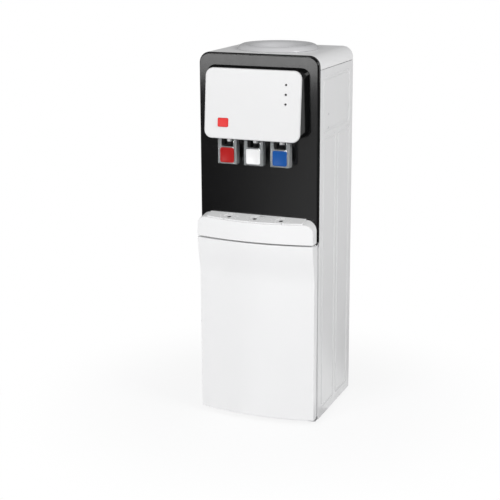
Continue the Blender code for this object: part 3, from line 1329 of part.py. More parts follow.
def compressor():
    """The sealed compressor on its foot plate, with four mounts and its pipe stubs."""
    body_low, top, r = COMPRESSOR_LOW, COMPRESSOR_HIGH, COMPRESSOR_RADIUS
    seam = (body_low + top) / 2 + SHEET * 4
    crown_points = [(out * r, top - down * r) for out, down in SHELL_TOP_SHARES]
    bowl_points = [(out * r, body_low + up * r) for out, up in SHELL_BOTTOM_SHARES]
    rim = r + SHEET * 2
    profile = crown_points + [
        (r, seam + SHEET), (rim, seam + SHEET), (rim, seam - SHEET), (r, seam - SHEET),
    ] + bowl_points
    centre = (COMPRESSOR_X, COMPRESSOR_Y)
    body = turned("compressor", profile, centre, "black_enamel", sides=20)
    plate_low = body_low - SHEET
    plate = block("mount_plate", (centre[0] - MOUNT_HALF_X, centre[1] - MOUNT_HALF_Y, plate_low),
                  (centre[0] + MOUNT_HALF_X, centre[1] + MOUNT_HALF_Y, plate_low + 2 * SHEET))
    join(body, plate)
    pan_top = BASE + PAN_LIFT + SHEET + GAP
    for sx in (-1, 1):
        for sy in (-1, 1):
            x = centre[0] + sx * (MOUNT_HALF_X - MOUNT_RADIUS)
            y = centre[1] + sy * (MOUNT_HALF_Y - MOUNT_RADIUS)
            join(body, rod("mount", MOUNT_RADIUS, (x, y, pan_top), (x, y, plate_low + SHEET / 2), sides=12))
    suction_x = COIL_CENTRE
    join(body, rod("suction_stub", COIL_RADIUS, (suction_x, centre[1], seam),
                   (suction_x, centre[1], STUB_TOP), sides=12))
    return join(body, rod("discharge_stub", CONDENSER_RADIUS, (centre[0], centre[1], DISCHARGE_Z),
                          (centre[0] + r + 4 * CONDENSER_RADIUS, centre[1], DISCHARGE_Z), sides=12))


def condenser():
    """The serpentine tube across the back with two straps, and tails to the compressor and the drier."""
    y, bend = CONDENSER_Y, CONDENSER_PITCH / 2
    straight = CONDENSER_HALF - bend
    tail_x = -(COIL_CENTRE)
    points = [(tail_x, LINE_Y, DRIER_LOW - GAP), (tail_x, LINE_Y, CONDENSER_LOW + LINE_BEND),
              (tail_x + LINE_BEND / 3, (LINE_Y + y) / 2, CONDENSER_LOW + LINE_BEND / 3),
              (tail_x + LINE_BEND, y, CONDENSER_LOW)]
    for row in range(CONDENSER_ROWS):
        z = CONDENSER_LOW + row * CONDENSER_PITCH
        side = 1 if row % 2 == 0 else -1
        points.append((side * straight, y, z))
        if row < CONDENSER_ROWS - 1:
            for a in (30, 60, 90, 120, 150):
                turn = math.radians(a)
                points.append((side * (straight + bend * math.sin(turn)), y,
                               z + bend * (1 - math.cos(turn))))
            points.append((side * straight, y, z + CONDENSER_PITCH))
    high = CONDENSER_LOW + (CONDENSER_ROWS - 1) * CONDENSER_PITCH
    stub = COMPRESSOR_X + COMPRESSOR_RADIUS + 4 * CONDENSER_RADIUS + GAP
    points += [
        (DISCHARGE_X - LINE_BEND / 2, y, high), (DISCHARGE_X, (LINE_Y + y) / 2, high - LINE_BEND / 3),
        (DISCHARGE_X, LINE_Y, high - LINE_BEND), (DISCHARGE_X, LINE_Y, DISCHARGE_Z + LINE_BEND),
        (DISCHARGE_X, LINE_Y - LINE_BEND / 2, DISCHARGE_Z + LINE_BEND / 6),
        (DISCHARGE_X, LINE_Y - LINE_BEND, DISCHARGE_Z),
        (DISCHARGE_X, COMPRESSOR_Y + LINE_BEND / 2, DISCHARGE_Z),
        (DISCHARGE_X - LINE_BEND / 3, COMPRESSOR_Y, DISCHARGE_Z), (stub, COMPRESSOR_Y, DISCHARGE_Z),
    ]
    grid = tube("condenser", points, CONDENSER_RADIUS, "black_enamel", resolution=1)
    for side in (-1, 1):
        xs = sorted((side * (CONDENSER_HALF - STRAP_WIDTH / 4),
                     side * (CONDENSER_HALF - STRAP_WIDTH / 4 + STRAP_WIDTH)))
        join(grid, block("strap", (xs[0], y + CONDENSER_RADIUS / 2, CONDENSER_LOW + bend),
                         (xs[1], BACK - SHEET - GAP, high - bend)))
    return grid


def filter_drier():
    """The copper drier between the condenser and the evaporator."""
    x = -(COIL_CENTRE)
    taper = DRIER_RADIUS
    profile = [
        (0, DRIER_HIGH), (COIL_RADIUS, DRIER_HIGH), (DRIER_RADIUS, DRIER_HIGH - taper),
        (DRIER_RADIUS, DRIER_LOW + taper), (COIL_RADIUS, DRIER_LOW), (0, DRIER_LOW),
    ]
    return turned("filter_drier", profile, (x, LINE_Y), "copper", sides=14)


def switch_bezel():
    """The black frame in the rear panel that holds the two rocker switches."""
    face = (SWITCH_X - SWITCH_WIDTH / 2, SWITCH_X + SWITCH_WIDTH / 2, SWITCH_Z - SWITCH_HEIGHT / 2,
            SWITCH_Z + SWITCH_HEIGHT / 2)
    outer = BACK - SHEET
    flange = prism("switch_bezel", rounded(*inset(*face, -SWITCH_FLANGE), SWITCH_FLANGE / 2, 2), "front",
                   outer, BACK, "black_plastic")
    body = prism("switch_body", rounded(*inset(*face, GAP), 0), "front", BACK - SWITCH_DEPTH,
                 outer + SHEET / 2)
    join(flange, body)
    for side in (-1, 1):
        x = SWITCH_X + side * ROCKER_PITCH / 2
        half = ROCKER_WIDTH / 2 + GAP
        rise = (ROCKER_HEIGHT + ROCKER_ROOM * 2) / 2
        cut(flange, block("rocker_room", (x - half, BACK - SWITCH_DEPTH + WALL, SWITCH_Z - rise),
                          (x + half, BACK + OVERRUN, SWITCH_Z + rise)))
    return flange


def rocker(name, side):
    """A rocker with its upper half pressed flush and its lower half slanting in, on a pivot across it."""
    x = SWITCH_X + side * ROCKER_PITCH / 2
    outer = BACK - GAP
    pivot = BACK - ROCKER_PIVOT
    half = ROCKER_HEIGHT / 2
    outline = [
        (pivot - ROCKER_BACK, SWITCH_Z - half), (outer - half * ROCKER_SLANT, SWITCH_Z - half),
        (outer, SWITCH_Z), (outer, SWITCH_Z + half), (pivot - ROCKER_BACK, SWITCH_Z + half),
    ]
    return prism(name, outline, "side", x - ROCKER_WIDTH / 2, x + ROCKER_WIDTH / 2,
                 "black_plastic" if side < 0 else "green_plastic")


def cord_inlet():
    """The moulded bushing in the rear panel where the mains lead goes in."""
    outer = BACK - SHEET
    gland = rod("cord_inlet", INLET_FLANGE, (INLET_X, outer, INLET_Z), (INLET_X, BACK, INLET_Z),
                "black_plastic", sides=20)
    join(gland, rod("inlet_body", INLET_RADIUS, (INLET_X, outer - INLET_DEPTH, INLET_Z),
                    (INLET_X, outer + SHEET / 2, INLET_Z), sides=20))
    return cut(gland, rod("inlet_bore", INLET_BORE, (INLET_X, outer - INLET_DEPTH - OVERRUN, INLET_Z),
                          (INLET_X, BACK + OVERRUN, INLET_Z), sides=12))


def drain_pipe():
    """The short pipe from the hot tank's side to the rear panel."""
    start = HOT_Y + HOT_RADIUS + GAP
    end = BACK - 2 * SHEET - 2 * GAP
    pipe = rod("drain_pipe", DRAIN_RADIUS, (HOT_X, start, DRAIN_Z), (HOT_X, end, DRAIN_Z), "silicone",
               sides=16)
    return cut(pipe, rod("drain_bore", DRAIN_PLUG + GAP, (HOT_X, start + OVERRUN, DRAIN_Z),
                         (HOT_X, end + OVERRUN, DRAIN_Z), sides=12))


def drain_cap():
    """The cap over the drain, with its plug in the pipe."""
    outer = BACK - SHEET
    cap = rod("drain_cap", DRAIN_CAP_RADIUS, (HOT_X, outer, DRAIN_Z), (HOT_X, BACK, DRAIN_Z),
              "white_plastic", sides=20)
    return join(cap, rod("drain_plug", DRAIN_PLUG, (HOT_X, outer - DRAIN_CAP_RADIUS, DRAIN_Z),
                         (HOT_X, outer + SHEET / 2, DRAIN_Z), sides=12))


# Assembly

def assemble():
    base_pan()
    for name, sx, sy in (("foot_front_left", -1, -1), ("foot_front_right", 1, -1),
                         ("foot_rear_left", -1, 1), ("foot_rear_right", 1, 1)):
        foot(name, sx, sy)
    side_panel("side_panel_left", -1)
    side_panel("side_panel_right", 1)
    rear_panel()
    top_cover()
    cabinet_liner()
    fascia()
    pod_housing()
    control_plate()
    indicator_light_pipe()
    indicator_board()
    hot_lock_button()
    for which, x, colour in zip(TAP_NAMES, TAP_XS, INSERT_COLOURS):
        tap_body("tap_body_" + which, x)
        valve_stem("valve_stem_" + which, x)
        paddle("paddle_" + which, x)
        paddle_insert("paddle_insert_" + which, x, colour)
        paddle_pin("paddle_pin_" + which, x)
    tray_housing()
    drip_tray()
    drip_grille()
    door_outer()
    door_inner()
    door_gasket()
    hinge_brackets()
    door_catch()
    bottle_collar()
    bottle_probe()
    cold_tank()
    cold_tank_insulation()
    evaporator_coil()
    hot_tank()
    tank_shelf()
    tank_stand()
    hoses()
    compressor()
    condenser()
    filter_drier()
    switch_bezel()
    rocker("rocker_hot", -1)
    rocker("rocker_cold", 1)
    cord_inlet()
    drain_pipe()
    drain_cap()


for existing in list(bpy.data.objects):
    bpy.data.objects.remove(existing, do_unlink=True)
bpy.context.scene.collection.children.link(MODEL)
bpy.context.scene.collection.children.link(CUTTERS)
assemble()
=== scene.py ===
"""The looks of a bottled-water dispenser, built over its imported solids. Metres, +Z up, the front faces -Y."""

import json
import math

import bmesh
import bpy
from mathutils import Matrix, Vector

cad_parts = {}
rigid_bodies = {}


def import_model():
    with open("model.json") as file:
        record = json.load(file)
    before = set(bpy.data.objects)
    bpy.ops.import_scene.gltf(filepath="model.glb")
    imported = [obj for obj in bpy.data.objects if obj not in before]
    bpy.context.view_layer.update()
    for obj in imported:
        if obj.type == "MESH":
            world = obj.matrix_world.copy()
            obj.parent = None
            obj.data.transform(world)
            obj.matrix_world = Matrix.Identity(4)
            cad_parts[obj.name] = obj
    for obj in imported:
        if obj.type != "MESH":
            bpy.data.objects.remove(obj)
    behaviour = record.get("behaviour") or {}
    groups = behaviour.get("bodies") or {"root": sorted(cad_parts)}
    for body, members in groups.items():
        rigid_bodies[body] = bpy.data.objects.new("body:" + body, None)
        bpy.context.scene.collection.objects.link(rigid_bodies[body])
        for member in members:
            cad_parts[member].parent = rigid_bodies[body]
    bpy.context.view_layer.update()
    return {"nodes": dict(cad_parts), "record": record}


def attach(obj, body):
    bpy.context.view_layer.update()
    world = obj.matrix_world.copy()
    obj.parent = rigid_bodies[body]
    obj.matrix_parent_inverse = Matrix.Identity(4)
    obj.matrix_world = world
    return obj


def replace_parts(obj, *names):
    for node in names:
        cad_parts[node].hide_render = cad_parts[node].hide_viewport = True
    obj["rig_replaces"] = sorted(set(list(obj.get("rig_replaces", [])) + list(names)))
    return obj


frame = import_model()
SCENE = bpy.context.scene
RECORD = frame["record"]
BODY_OF = {node: body for body, nodes in RECORD["behaviour"]["bodies"].items() for node in nodes}
SLOT_OF = {entry["node"]: entry["material_slot"] for entry in RECORD["subparts"]}


# Camera, fitted to the edges and corners in the photograph

CAMERA_AT = (1.13838, -2.96633, 1.26781)
CAMERA_TURN = 0.3657
CAMERA_PITCH = 0.2401
CAMERA_FOCAL_PX = 1249.5
CAMERA_SHIFT = (-0.05, -0.05)
CAMERA_REACH = 50
FRAME_PX = 500
SENSOR = 36.0


def make_camera():
    """The view of the photograph."""
    data = bpy.data.cameras.new("camera")
    data.sensor_width = SENSOR
    data.lens = CAMERA_FOCAL_PX / FRAME_PX * SENSOR
    data.shift_x, data.shift_y = CAMERA_SHIFT
    data.clip_end = CAMERA_REACH
    camera = bpy.data.objects.new("camera", data)
    SCENE.collection.objects.link(camera)
    camera.location = CAMERA_AT
    camera.rotation_euler = (math.pi / 2 - CAMERA_PITCH, 0, CAMERA_TURN)
    SCENE.camera = camera


make_camera()
SCENE.view_settings.view_transform = "Standard"


# Materials

def shade(colour, by):
    """A colour made darker or lighter."""
    return tuple(max(0.0, min(1.0, c * by)) for c in colour)


class Nodes:
    """A small helper that builds a material's nodes in order."""

    def __init__(self, name):
        self.material = bpy.data.materials.new(name)
        self.material.use_nodes = True
        self.tree = self.material.node_tree
        self.shader = self.tree.nodes["Principled BSDF"]
        self.coords = self.add("ShaderNodeTexCoord").outputs["Object"]

    def add(self, kind, **values):
        node = self.tree.nodes.new(kind)
        for key, value in values.items():
            setattr(node, key, value)
        return node

    def link(self, source, target):
        self.tree.links.new(source, target)

    def set(self, **values):
        for key, value in values.items():
            self.shader.inputs[key.replace("_", " ")].default_value = value

    def stretched(self, scale):
        """The object's own coordinates, scaled along each axis."""
        mapping = self.add("ShaderNodeMapping")
        mapping.inputs["Scale"].default_value = scale
        self.link(self.coords, mapping.inputs["Vector"])
        return mapping.outputs["Vector"]

    def noise(self, scale, detail, rough=0.5, source=None):
        node = self.add("ShaderNodeTexNoise")
        node.inputs["Scale"].default_value = scale
        node.inputs["Detail"].default_value = detail
        node.inputs["Roughness"].default_value = rough
        self.link(source or self.coords, node.inputs["Vector"])
        return node.outputs["Fac"]

    def ramp(self, source, low, high, start=0.3, end=0.7, shape="LINEAR"):
        """A value spread between two ends, where the source goes from start to end."""
        node = self.add("ShaderNodeMapRange", interpolation_type=shape)
        node.inputs["From Min"].default_value = start
        node.inputs["From Max"].default_value = end
        node.inputs["To Min"].default_value = low
        node.inputs["To Max"].default_value = high
        self.link(source, node.inputs["Value"])
        return node.outputs["Result"]

    def colours(self, source, stops):
        node = self.add("ShaderNodeValToRGB")
        elements = node.color_ramp.elements
        while len(elements) < len(stops):
            elements.new(0.5)
        for element, (at, colour) in zip(elements, stops):
            element.position = at
            element.color = (*colour, 1)
        self.link(source, node.inputs["Fac"])
        return node.outputs["Color"]

    def mottled(self, source, colour, tint, start=0.3):
        """A colour that the source makes darker or lighter by a tint."""
        return self.colours(source, [(start, shade(colour, 1 - tint)), (1 - start, shade(colour, 1 + tint))])

    def bump(self, source, distance, strength=1.0, before=None):
        node = self.add("ShaderNodeBump")
        node.inputs["Strength"].default_value = strength
        node.inputs["Distance"].default_value = distance
        self.link(source, node.inputs["Height"])
        if before is not None:
            self.link(before, node.inputs["Normal"])
        return node.outputs["Normal"]

    def maths(self, operation, first, second):
        """Two values joined by an operation."""
        node = self.add("ShaderNodeMath", operation=operation)
        self.link(first, node.inputs[0])
        self.link(second, node.inputs[1])
        return node.outputs[0]

    def glow(self):
        node = self.add("ShaderNodeEmission")
        node.inputs["Color"].default_value = (1, 1, 1, 1)
        node.inputs["Strength"].default_value = 1.0
        return node

    def mix(self, share, first, second):
        """Two shaders mixed; a share of 1 shows only the second."""
        node = self.add("ShaderNodeMixShader")
        self.link(share, node.inputs["Fac"])
        self.link(first, node.inputs[1])
        self.link(second, node.inputs[2])
        return node.outputs[0]

    def finish(self, colour, rough, normal):
        self.link(colour, self.shader.inputs["Base Color"])
        self.link(rough, self.shader.inputs["Roughness"])
        self.link(normal, self.shader.inputs["Normal"])
        return self.material


def moulded(name, colour, tint, rough=0.3, spread=0.03, scale=900.0, coat=0.0, ior=1.49):
    """Moulded plastic: a faint mottle, a slowly changing gloss and a fine spark-eroded grain."""
    n = Nodes(name)
    fine = n.noise(scale, detail=3.0, rough=0.6)
    slow = n.noise(28.0, detail=4.0, rough=0.55)
    base = n.mottled(n.noise(9.0, detail=3.0), colour, tint)
    gloss = n.ramp(slow, rough - spread, rough + spread)
    n.set(IOR=ior, Coat_Weight=coat, Coat_Roughness=0.06)
    return n.finish(base, gloss, n.bump(fine, distance=0.00001))


def enamelled(name, colour, rough=0.34, tint=0.015):
    """Powder-coated sheet steel: fine orange peel over a very slight waviness."""
    n = Nodes(name)
    peel = n.noise(420.0, detail=2.0, rough=0.45)
    wave = n.bump(n.noise(7.0, detail=1.0), distance=0.0002, strength=0.6)
    base = n.mottled(n.noise(5.0, detail=2.0), colour, tint, start=0.35)
    gloss = n.ramp(n.noise(40.0, detail=3.0), rough - 0.04, rough + 0.05)
    n.set(IOR=1.5, Coat_Weight=0.15, Coat_Roughness=0.2)
    return n.finish(base, gloss, n.bump(peel, distance=0.00003, before=wave))


def metal(name, colour, rough=0.3, stretch=(60, 60, 3)):
    """Drawn or rolled metal: streaks along one direction, with a little dulling in patches."""
    n = Nodes(name)
    streak = n.noise(14.0, detail=4.0, rough=0.65, source=n.stretched(stretch))
    base = n.mottled(streak, colour, tint=0.08)
    gloss = n.ramp(n.noise(35.0, detail=3.0), rough - 0.08, rough + 0.12)
    n.set(Metallic=1.0)
    return n.finish(base, gloss, n.bump(streak, distance=0.00001))


def rubbery(name, colour, rough=0.75):
    """Rubber or silicone: dull, with a fine even grain."""
    n = Nodes(name)
    fine = n.noise(650.0, detail=4.0, rough=0.6)
    base = n.mottled(n.noise(30.0, detail=3.0), colour, tint=0.15)
    n.set(IOR=1.52)
    return n.finish(base, n.ramp(fine, rough - 0.08, rough + 0.08), n.bump(fine, distance=0.00004))


def clear(name, colour):
    """Clear moulded plastic with faint flow lines."""
    n = Nodes(name)
    flow = n.noise(60.0, detail=2.0, rough=0.5, source=n.stretched((1, 1, 0.3)))
    base = n.colours(flow, [(0.3, shade(colour, 0.97)), (0.7, colour)])
    n.set(IOR=1.49, Transmission_Weight=0.80)
    return n.finish(base, n.ramp(flow, 0.01, 0.04), n.bump(flow, distance=0.00006))


def foamed(name, colour):
    """Rigid foam: small closed cells, darker at their walls."""
    n = Nodes(name)
    voronoi = n.add("ShaderNodeTexVoronoi")
    voronoi.inputs["Scale"].default_value = 320.0
    n.link(n.coords, voronoi.inputs["Vector"])
    cells = voronoi.outputs["Distance"]
    base = n.colours(cells, [(0.1, colour), (0.8, shade(colour, 0.8))])
    n.set(IOR=1.4)
    return n.finish(base, n.ramp(cells, 0.8, 0.95), n.bump(cells, distance=0.0004))


# White plastic stays rougher than 0.275, below which the picture shows flecks
WHITE_GLOSS = dict(rough=0.31, spread=0.02, tint=0.004)
RECIPES = {
    "white_enamel": (enamelled, (0.755, 0.755, 0.755), {}),
    "white_plastic": (moulded, (0.84, 0.84, 0.84), WHITE_GLOSS),
    "collar_plastic": (moulded, (0.57, 0.57, 0.58), dict(rough=0.18, tint=0.06, coat=0.3)),
    "black_plastic": (moulded, (0.0035, 0.0035, 0.0038), dict(rough=0.11, spread=0.015, tint=0.1, ior=1.46)),
    "red_plastic": (moulded, (0.70, 0.022, 0.020), dict(rough=0.42, tint=0.05, ior=1.35)),
    "blue_plastic": (moulded, (0.004, 0.078, 0.32), dict(rough=0.45, tint=0.05, ior=1.28)),
    "green_plastic": (moulded, (0.03, 0.30, 0.08), dict(tint=0.08)),
    "clear_plastic": (clear, (0.93, 0.96, 0.97), {}),
    "grey_plastic": (moulded, (0.28, 0.29, 0.30), dict(rough=0.4, tint=0.05)),
    "rubber": (rubbery, (0.035, 0.035, 0.037), {}),
    "gasket_rubber": (rubbery, (0.45, 0.45, 0.46), dict(rough=0.6)),
    "steel": (metal, (0.60, 0.60, 0.61), {}),
    "black_enamel": (enamelled, (0.022, 0.022, 0.024), dict(rough=0.38, tint=0.08)),
    "copper": (metal, (0.74, 0.40, 0.25), dict(rough=0.28, stretch=(20, 20, 20))),
    "foam": (foamed, (0.74, 0.71, 0.62), {}),
    "silicone": (rubbery, (0.72, 0.72, 0.69), dict(rough=0.45)),
    "circuit_green": (moulded, (0.02, 0.16, 0.06), dict(rough=0.35, tint=0.12, scale=400.0)),
    "smoked_plastic": (moulded, (0.020, 0.020, 0.022), dict(rough=0.12, tint=0.1)),
    "insert_red": (moulded, (0.40, 0.006, 0.006), dict(rough=0.45, tint=0.05, ior=1.28)),
    # The control plate's white is a darker copy of the white plastic: painted shade that takes back the extra
    # light its upward tilt catches from the key lamp
    "plate_plastic": (moulded, (0.71, 0.71, 0.71), WHITE_GLOSS),
}
MATERIALS = {name: recipe(name, colour, **values) for name, (recipe, colour, values) in RECIPES.items()}


# Measures, the same as in the solids

HALF, BACK, FRONT = 0.160, 0.160, -0.102
TOP, COVER_SEAM, BASE = 0.947, 0.913, 0.008
MIDDLE = 0.029
GAP = 0.0003
FACE_HALF = 0.1563
CORNER_RADIUS, FACE_RADIUS = 0.028, 0.0243
FASCIA_FRONT, FASCIA_LOW = -0.112, 0.482
HOUSING_HIGH, HOUSING_EDGE, HOUSING_RISE, HOUSING_RADIUS = 0.540, -0.140, 0.020, 0.026
PLATE = (-0.126, 0.126, 0.740, 0.913)
PLATE_RADIUS, PLATE_THICK = 0.020, 0.006
DOOR_LOW, DOOR_HIGH, DOOR_EDGE, DOOR_BACK = 0.012, 0.478, -0.125, -0.1040
TAP_XS = {"hot": -0.070, "room": 0.0, "cold": 0.070}


# Geometry

BACKWARD = (0, 1, 0)
SAME_POINT = 1e-7
LEAST_RADIUS = 0.00002


def arc(cx, cy, radius, first, last, steps):
    """Points of an arc between two turns in degrees."""
    turns = [math.radians(first + (last - first) * i / steps) for i in range(steps + 1)]
    return [(cx + radius * math.cos(t), cy + radius * math.sin(t)) for t in turns]


def full_turns(count):
    """Equal turns round a whole circle."""
    return [2 * math.pi * k / count for k in range(count)]


def quarter(radius, angles):
    """(inset, depth) pairs of a quarter round: a turn of 0 lies on its side and one of 90 on its face."""
    turns = [math.radians(angle) for angle in angles]
    return [(radius * (1 - math.cos(t)), radius * (1 - math.sin(t))) for t in turns]


def edge_steps(radius, steps=6):
    """(inset, depth) pairs of a whole quarter round in equal steps, from the side to the face."""
    return quarter(radius, [90 * k / steps for k in range(steps + 1)])


def fall(out, radius):
    """How far a quarter round has fallen away, at a distance past its start."""
    return radius - math.sqrt(max(0.0, radius ** 2 - out ** 2)) if out > 0 else 0.0


def rounded(x0, x1, y0, y1, radius, steps=8):
    """A rectangle with round corners, counter-clockwise from its lower left, always with the same count."""
    radii = radius if isinstance(radius, (tuple, list)) else (radius,) * 4
    spots = ((x0, y0, 1, 1, 180), (x1, y0, -1, 1, 270), (x1, y1, -1, -1, 0), (x0, y1, 1, -1, 90))
    points = []
    for (x, y, sx, sy, first), r in zip(spots, radii):
        r = max(r, LEAST_RADIUS)
        points += arc(x + sx * r, y + sy * r, r, first, first + 90, steps)
    return points


def inset(x0, x1, y0, y1, by):
    """A rectangle drawn in on all four sides."""
    return x0 + by, x1 - by, y0 + by, y1 - by


def crown(x, half, edge, rise):
    """The Y of a front that bulges forward by a rise in its middle."""
    return edge - rise * (1 - (x / half) ** 2)


def smooth(t):
    """A soft step from 0 to 1."""
    t = max(0.0, min(1.0, t))
    return t * t * (3 - 2 * t)


def ladder(cuts, steps):
    """Positions from the first cut to the last, with a widest step of its own between each two."""
    out = []
    for a, b, step in zip(cuts, cuts[1:], steps):
        count = max(1, math.ceil((b - a) / step))
        out += [a + (b - a) * i / count for i in range(count)]
    return out + [cuts[-1]]


def across(half, corner, inner, dense):
    """Positions across the front, closer together near its two edges."""
    edge = [half - by for by, _ in edge_steps(corner, dense)]
    body = [(half - corner) * (1 - 2 * i / inner) for i in range(1, inner)]
    return sorted(set(round(x, 7) for x in edge + body + [-x for x in edge]))


def softened(corners, steps):
    """A closed outline through (x, y, radius) corners, each rounded by its own radius."""
    out = []
    for i, (x, y, r) in enumerate(corners):
        if not r:
            out.append((x, y))
            continue
        p = Vector((x, y))
        a = Vector(corners[i - 1][:2]) - p
        b = Vector(corners[(i + 1) % len(corners)][:2]) - p
        half = a.angle(b) / 2
        reach = min(r / math.tan(half), a.length * 0.48, b.length * 0.48)
        start, end = p + a.normalized() * reach, p + b.normalized() * reach
        for k in range(steps + 1):
            t = k / steps
            out.append(tuple((1 - t) ** 2 * start + 2 * t * (1 - t) * p + t * t * end))
    return out


def front_ring(outline, depth):
    """A ring of an (x, z) outline, at a Y or at a function's Y."""
    return [(x, depth(x, z) if callable(depth) else depth, z) for x, z in outline]


def flat_ring(outline, z):
    """A ring of an (x, y) outline at a height."""
    return [(x, y, z) for x, y in outline]


def blend_rings(a, b, t):
    """An outline part of the way from one to another."""
    return [(p[0] * (1 - t) + q[0] * t, p[1] * (1 - t) + q[1] * t) for p, q in zip(a, b)]


def added(name, work):
    """A new object from a bmesh."""
    bmesh.ops.remove_doubles(work, verts=work.verts, dist=SAME_POINT)
    bmesh.ops.recalc_face_normals(work, faces=work.faces)
    mesh = bpy.data.meshes.new(name)
    work.to_mesh(mesh)
    work.free()
    obj = bpy.data.objects.new(name, mesh)
    SCENE.collection.objects.link(obj)
    return obj


def skinned(name, rings, first_cap=True):
    """A skin through closed rings of equal counts of 3-D points, capped at its end and usually its start."""
    work = bmesh.new()
    levels = [[work.verts.new(p) for p in ring] for ring in rings]
    count = len(rings[0])
    for low, high in zip(levels, levels[1:]):
        for i in range(count):
            j = (i + 1) % count
            work.faces.new((low[i], low[j], high[j], high[i]))
    if first_cap:
        work.faces.new(levels[0])
    work.faces.new(levels[-1])
    return added(name, work)


def sheeted(name, rows, rim_y=None):
    """An open sheet through rows of equal counts of 3-D points; its border may be drawn back to a Y."""
    work = bmesh.new()
    grid = [[work.verts.new(p) for p in row] for row in rows]
    for low, high in zip(grid, grid[1:]):
        for i in range(len(low) - 1):
            work.faces.new((low[i], low[i + 1], high[i + 1], high[i]))
    if rim_y is not None:
        rim = [edge for edge in work.edges if edge.is_boundary]
        grown = bmesh.ops.extrude_edge_only(work, edges=rim)["geom"]
        for vert in (item for item in grown if isinstance(item, bmesh.types.BMVert)):
            vert.co.y = rim_y
    return added(name, work)


def lathe(name, profile, centre, sides):
    """A turned piece; profile is a closed outline of (radius, height)."""
    work = bmesh.new()
    x, y = centre
    rings = [[work.verts.new((x + r * math.cos(t), y + r * math.sin(t), z)) for r, z in profile]
             for t in full_turns(sides)]
    count = len(profile)
    for k in range(sides):
        a, b = rings[k], rings[(k + 1) % sides]
        for i in range(count):
            j = (i + 1) % count
            work.faces.new((a[i], a[j], b[j], b[i]))
    return added(name, work)


def turned_along(name, x, z, profile, sides=32):
    """A piece turned about a line along Y; profile is (y, radius)."""
    return skinned(name, [[(x + r * math.cos(t), y, z + r * math.sin(t)) for t in full_turns(sides)]
                          for y, r in profile])


def slab(name, outline, y0, y1):
    """An (x, z) outline pulled from y0 to y1."""
    return skinned(name, [front_ring(outline, y0), front_ring(outline, y1)])


def box_of(name, low, high):
    """A box between two opposite corners."""
    outline = [(low[0], low[2]), (high[0], low[2]), (high[0], high[2]), (low[0], high[2])]
    return slab(name, outline, low[1], high[1])


def pin(name, radius, start, end, sides=24):
    """A round bar between two points."""
    a, b = Vector(start), Vector(end)
    way = (b - a).normalized()
    side = way.orthogonal().normalized()
    up = way.cross(side)
    spokes = [radius * (math.cos(t) * side + math.sin(t) * up) for t in full_turns(sides)]
    return skinned(name, [[tuple(spot + spoke) for spoke in spokes] for spot in (a, b)])


def applied(obj):
    """Applies an object's modifiers."""
    graph = bpy.context.evaluated_depsgraph_get()
    graph.update()
    mesh = bpy.data.meshes.new_from_object(obj.evaluated_get(graph))
    obj.modifiers.clear()
    obj.data = mesh
    return obj


def combined(obj, operation, tools):
    """Cuts tools from an object or joins them to it, and deletes them."""
    for tool in tools:
        step = obj.modifiers.new(operation.lower(), "BOOLEAN")
        step.operation = operation
        step.solver = "EXACT"
        step.object = tool
    applied(obj)
    for tool in tools:
        bpy.data.objects.remove(tool, do_unlink=True)


def cut(obj, *tools):
    combined(obj, "DIFFERENCE", tools)


def join(obj, *tools):
    combined(obj, "UNION", tools)


def facing(obj, way):
    """1 where an open sheet's largest face looks along a direction, otherwise -1."""
    biggest = max(obj.data.polygons, key=lambda p: p.area)
    return 1 if biggest.normal.dot(Vector(way)) > 0 else -1


def thick(obj, thickness, offset):
    """Gives a sheet a wall; offset 1 adds it on the side that its faces look to, and -1 on the other."""
    step = obj.modifiers.new("wall", "SOLIDIFY")
    step.thickness = thickness
    step.offset = offset
    step.use_even_offset = False
    applied(obj)


def soften(obj, width, segments, angle, outer="MITER_SHARP"):
    """Rounds an object's edges that turn by more than an angle."""
    soft = obj.modifiers.new("rounding", "BEVEL")
    soft.width = width
    soft.segments = segments
    soft.limit_method = "ANGLE"
    soft.angle_limit = math.radians(angle)
    soft.harden_normals = True
    soft.miter_outer = outer


# Pieces

NODE_SAME_POINT, NODE_FLAT_DEGREES, NODE_ROUNDING, NODE_ANGLE = 1e-6, 0.6, 0.0008, 40


def dress(obj, slot, angle=32, even=False):
    """Gives a piece its material and smooth shading with sharp creases; even keeps its flat faces flat."""
    obj.data.materials.clear()
    obj.data.materials.append(MATERIALS[slot])
    if obj.type == "MESH":
        obj.data.shade_smooth()
        obj.data.set_sharp_from_angle(angle=math.radians(angle))
    if even:
        level = obj.modifiers.new("normals", "WEIGHTED_NORMAL")
        level.keep_sharp = True
        level.weight = 50
    return obj


def stand_for(obj, node):
    """Puts a piece in a node's place, on the node's body."""
    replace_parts(obj, node)
    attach(obj, BODY_OF[node])


def refined(node):
    """A node's form with its hard edges rounded."""
    mesh = frame["nodes"][node].data.copy()
    mesh.name = node + "_form"
    work = bmesh.new()
    work.from_mesh(mesh)
    bmesh.ops.remove_doubles(work, verts=work.verts, dist=NODE_SAME_POINT)
    bmesh.ops.dissolve_limit(work, angle_limit=math.radians(NODE_FLAT_DEGREES), verts=work.verts,
                             edges=work.edges)
    work.to_mesh(mesh)
    work.free()
    obj = bpy.data.objects.new(node + "_form", mesh)
    SCENE.collection.objects.link(obj)
    dress(obj, SLOT_OF[node], NODE_ANGLE)
    soften(obj, NODE_ROUNDING, 3, NODE_ANGLE, "MITER_ARC")
    stand_for(obj, node)


# Front

PLATE_REACH, PLATE_LEAN, PLATE_EDGE, PLATE_STEPS = 0.042, 0.0155, 0.0032, 14
BUTTON = (-0.0895, -0.0615, 0.769, 0.791)
BUTTON_Z, BUTTON_RADIUS, BUTTON_EDGE, BUTTON_PLAY = 0.780, 0.0030, 0.0011, 0.0004
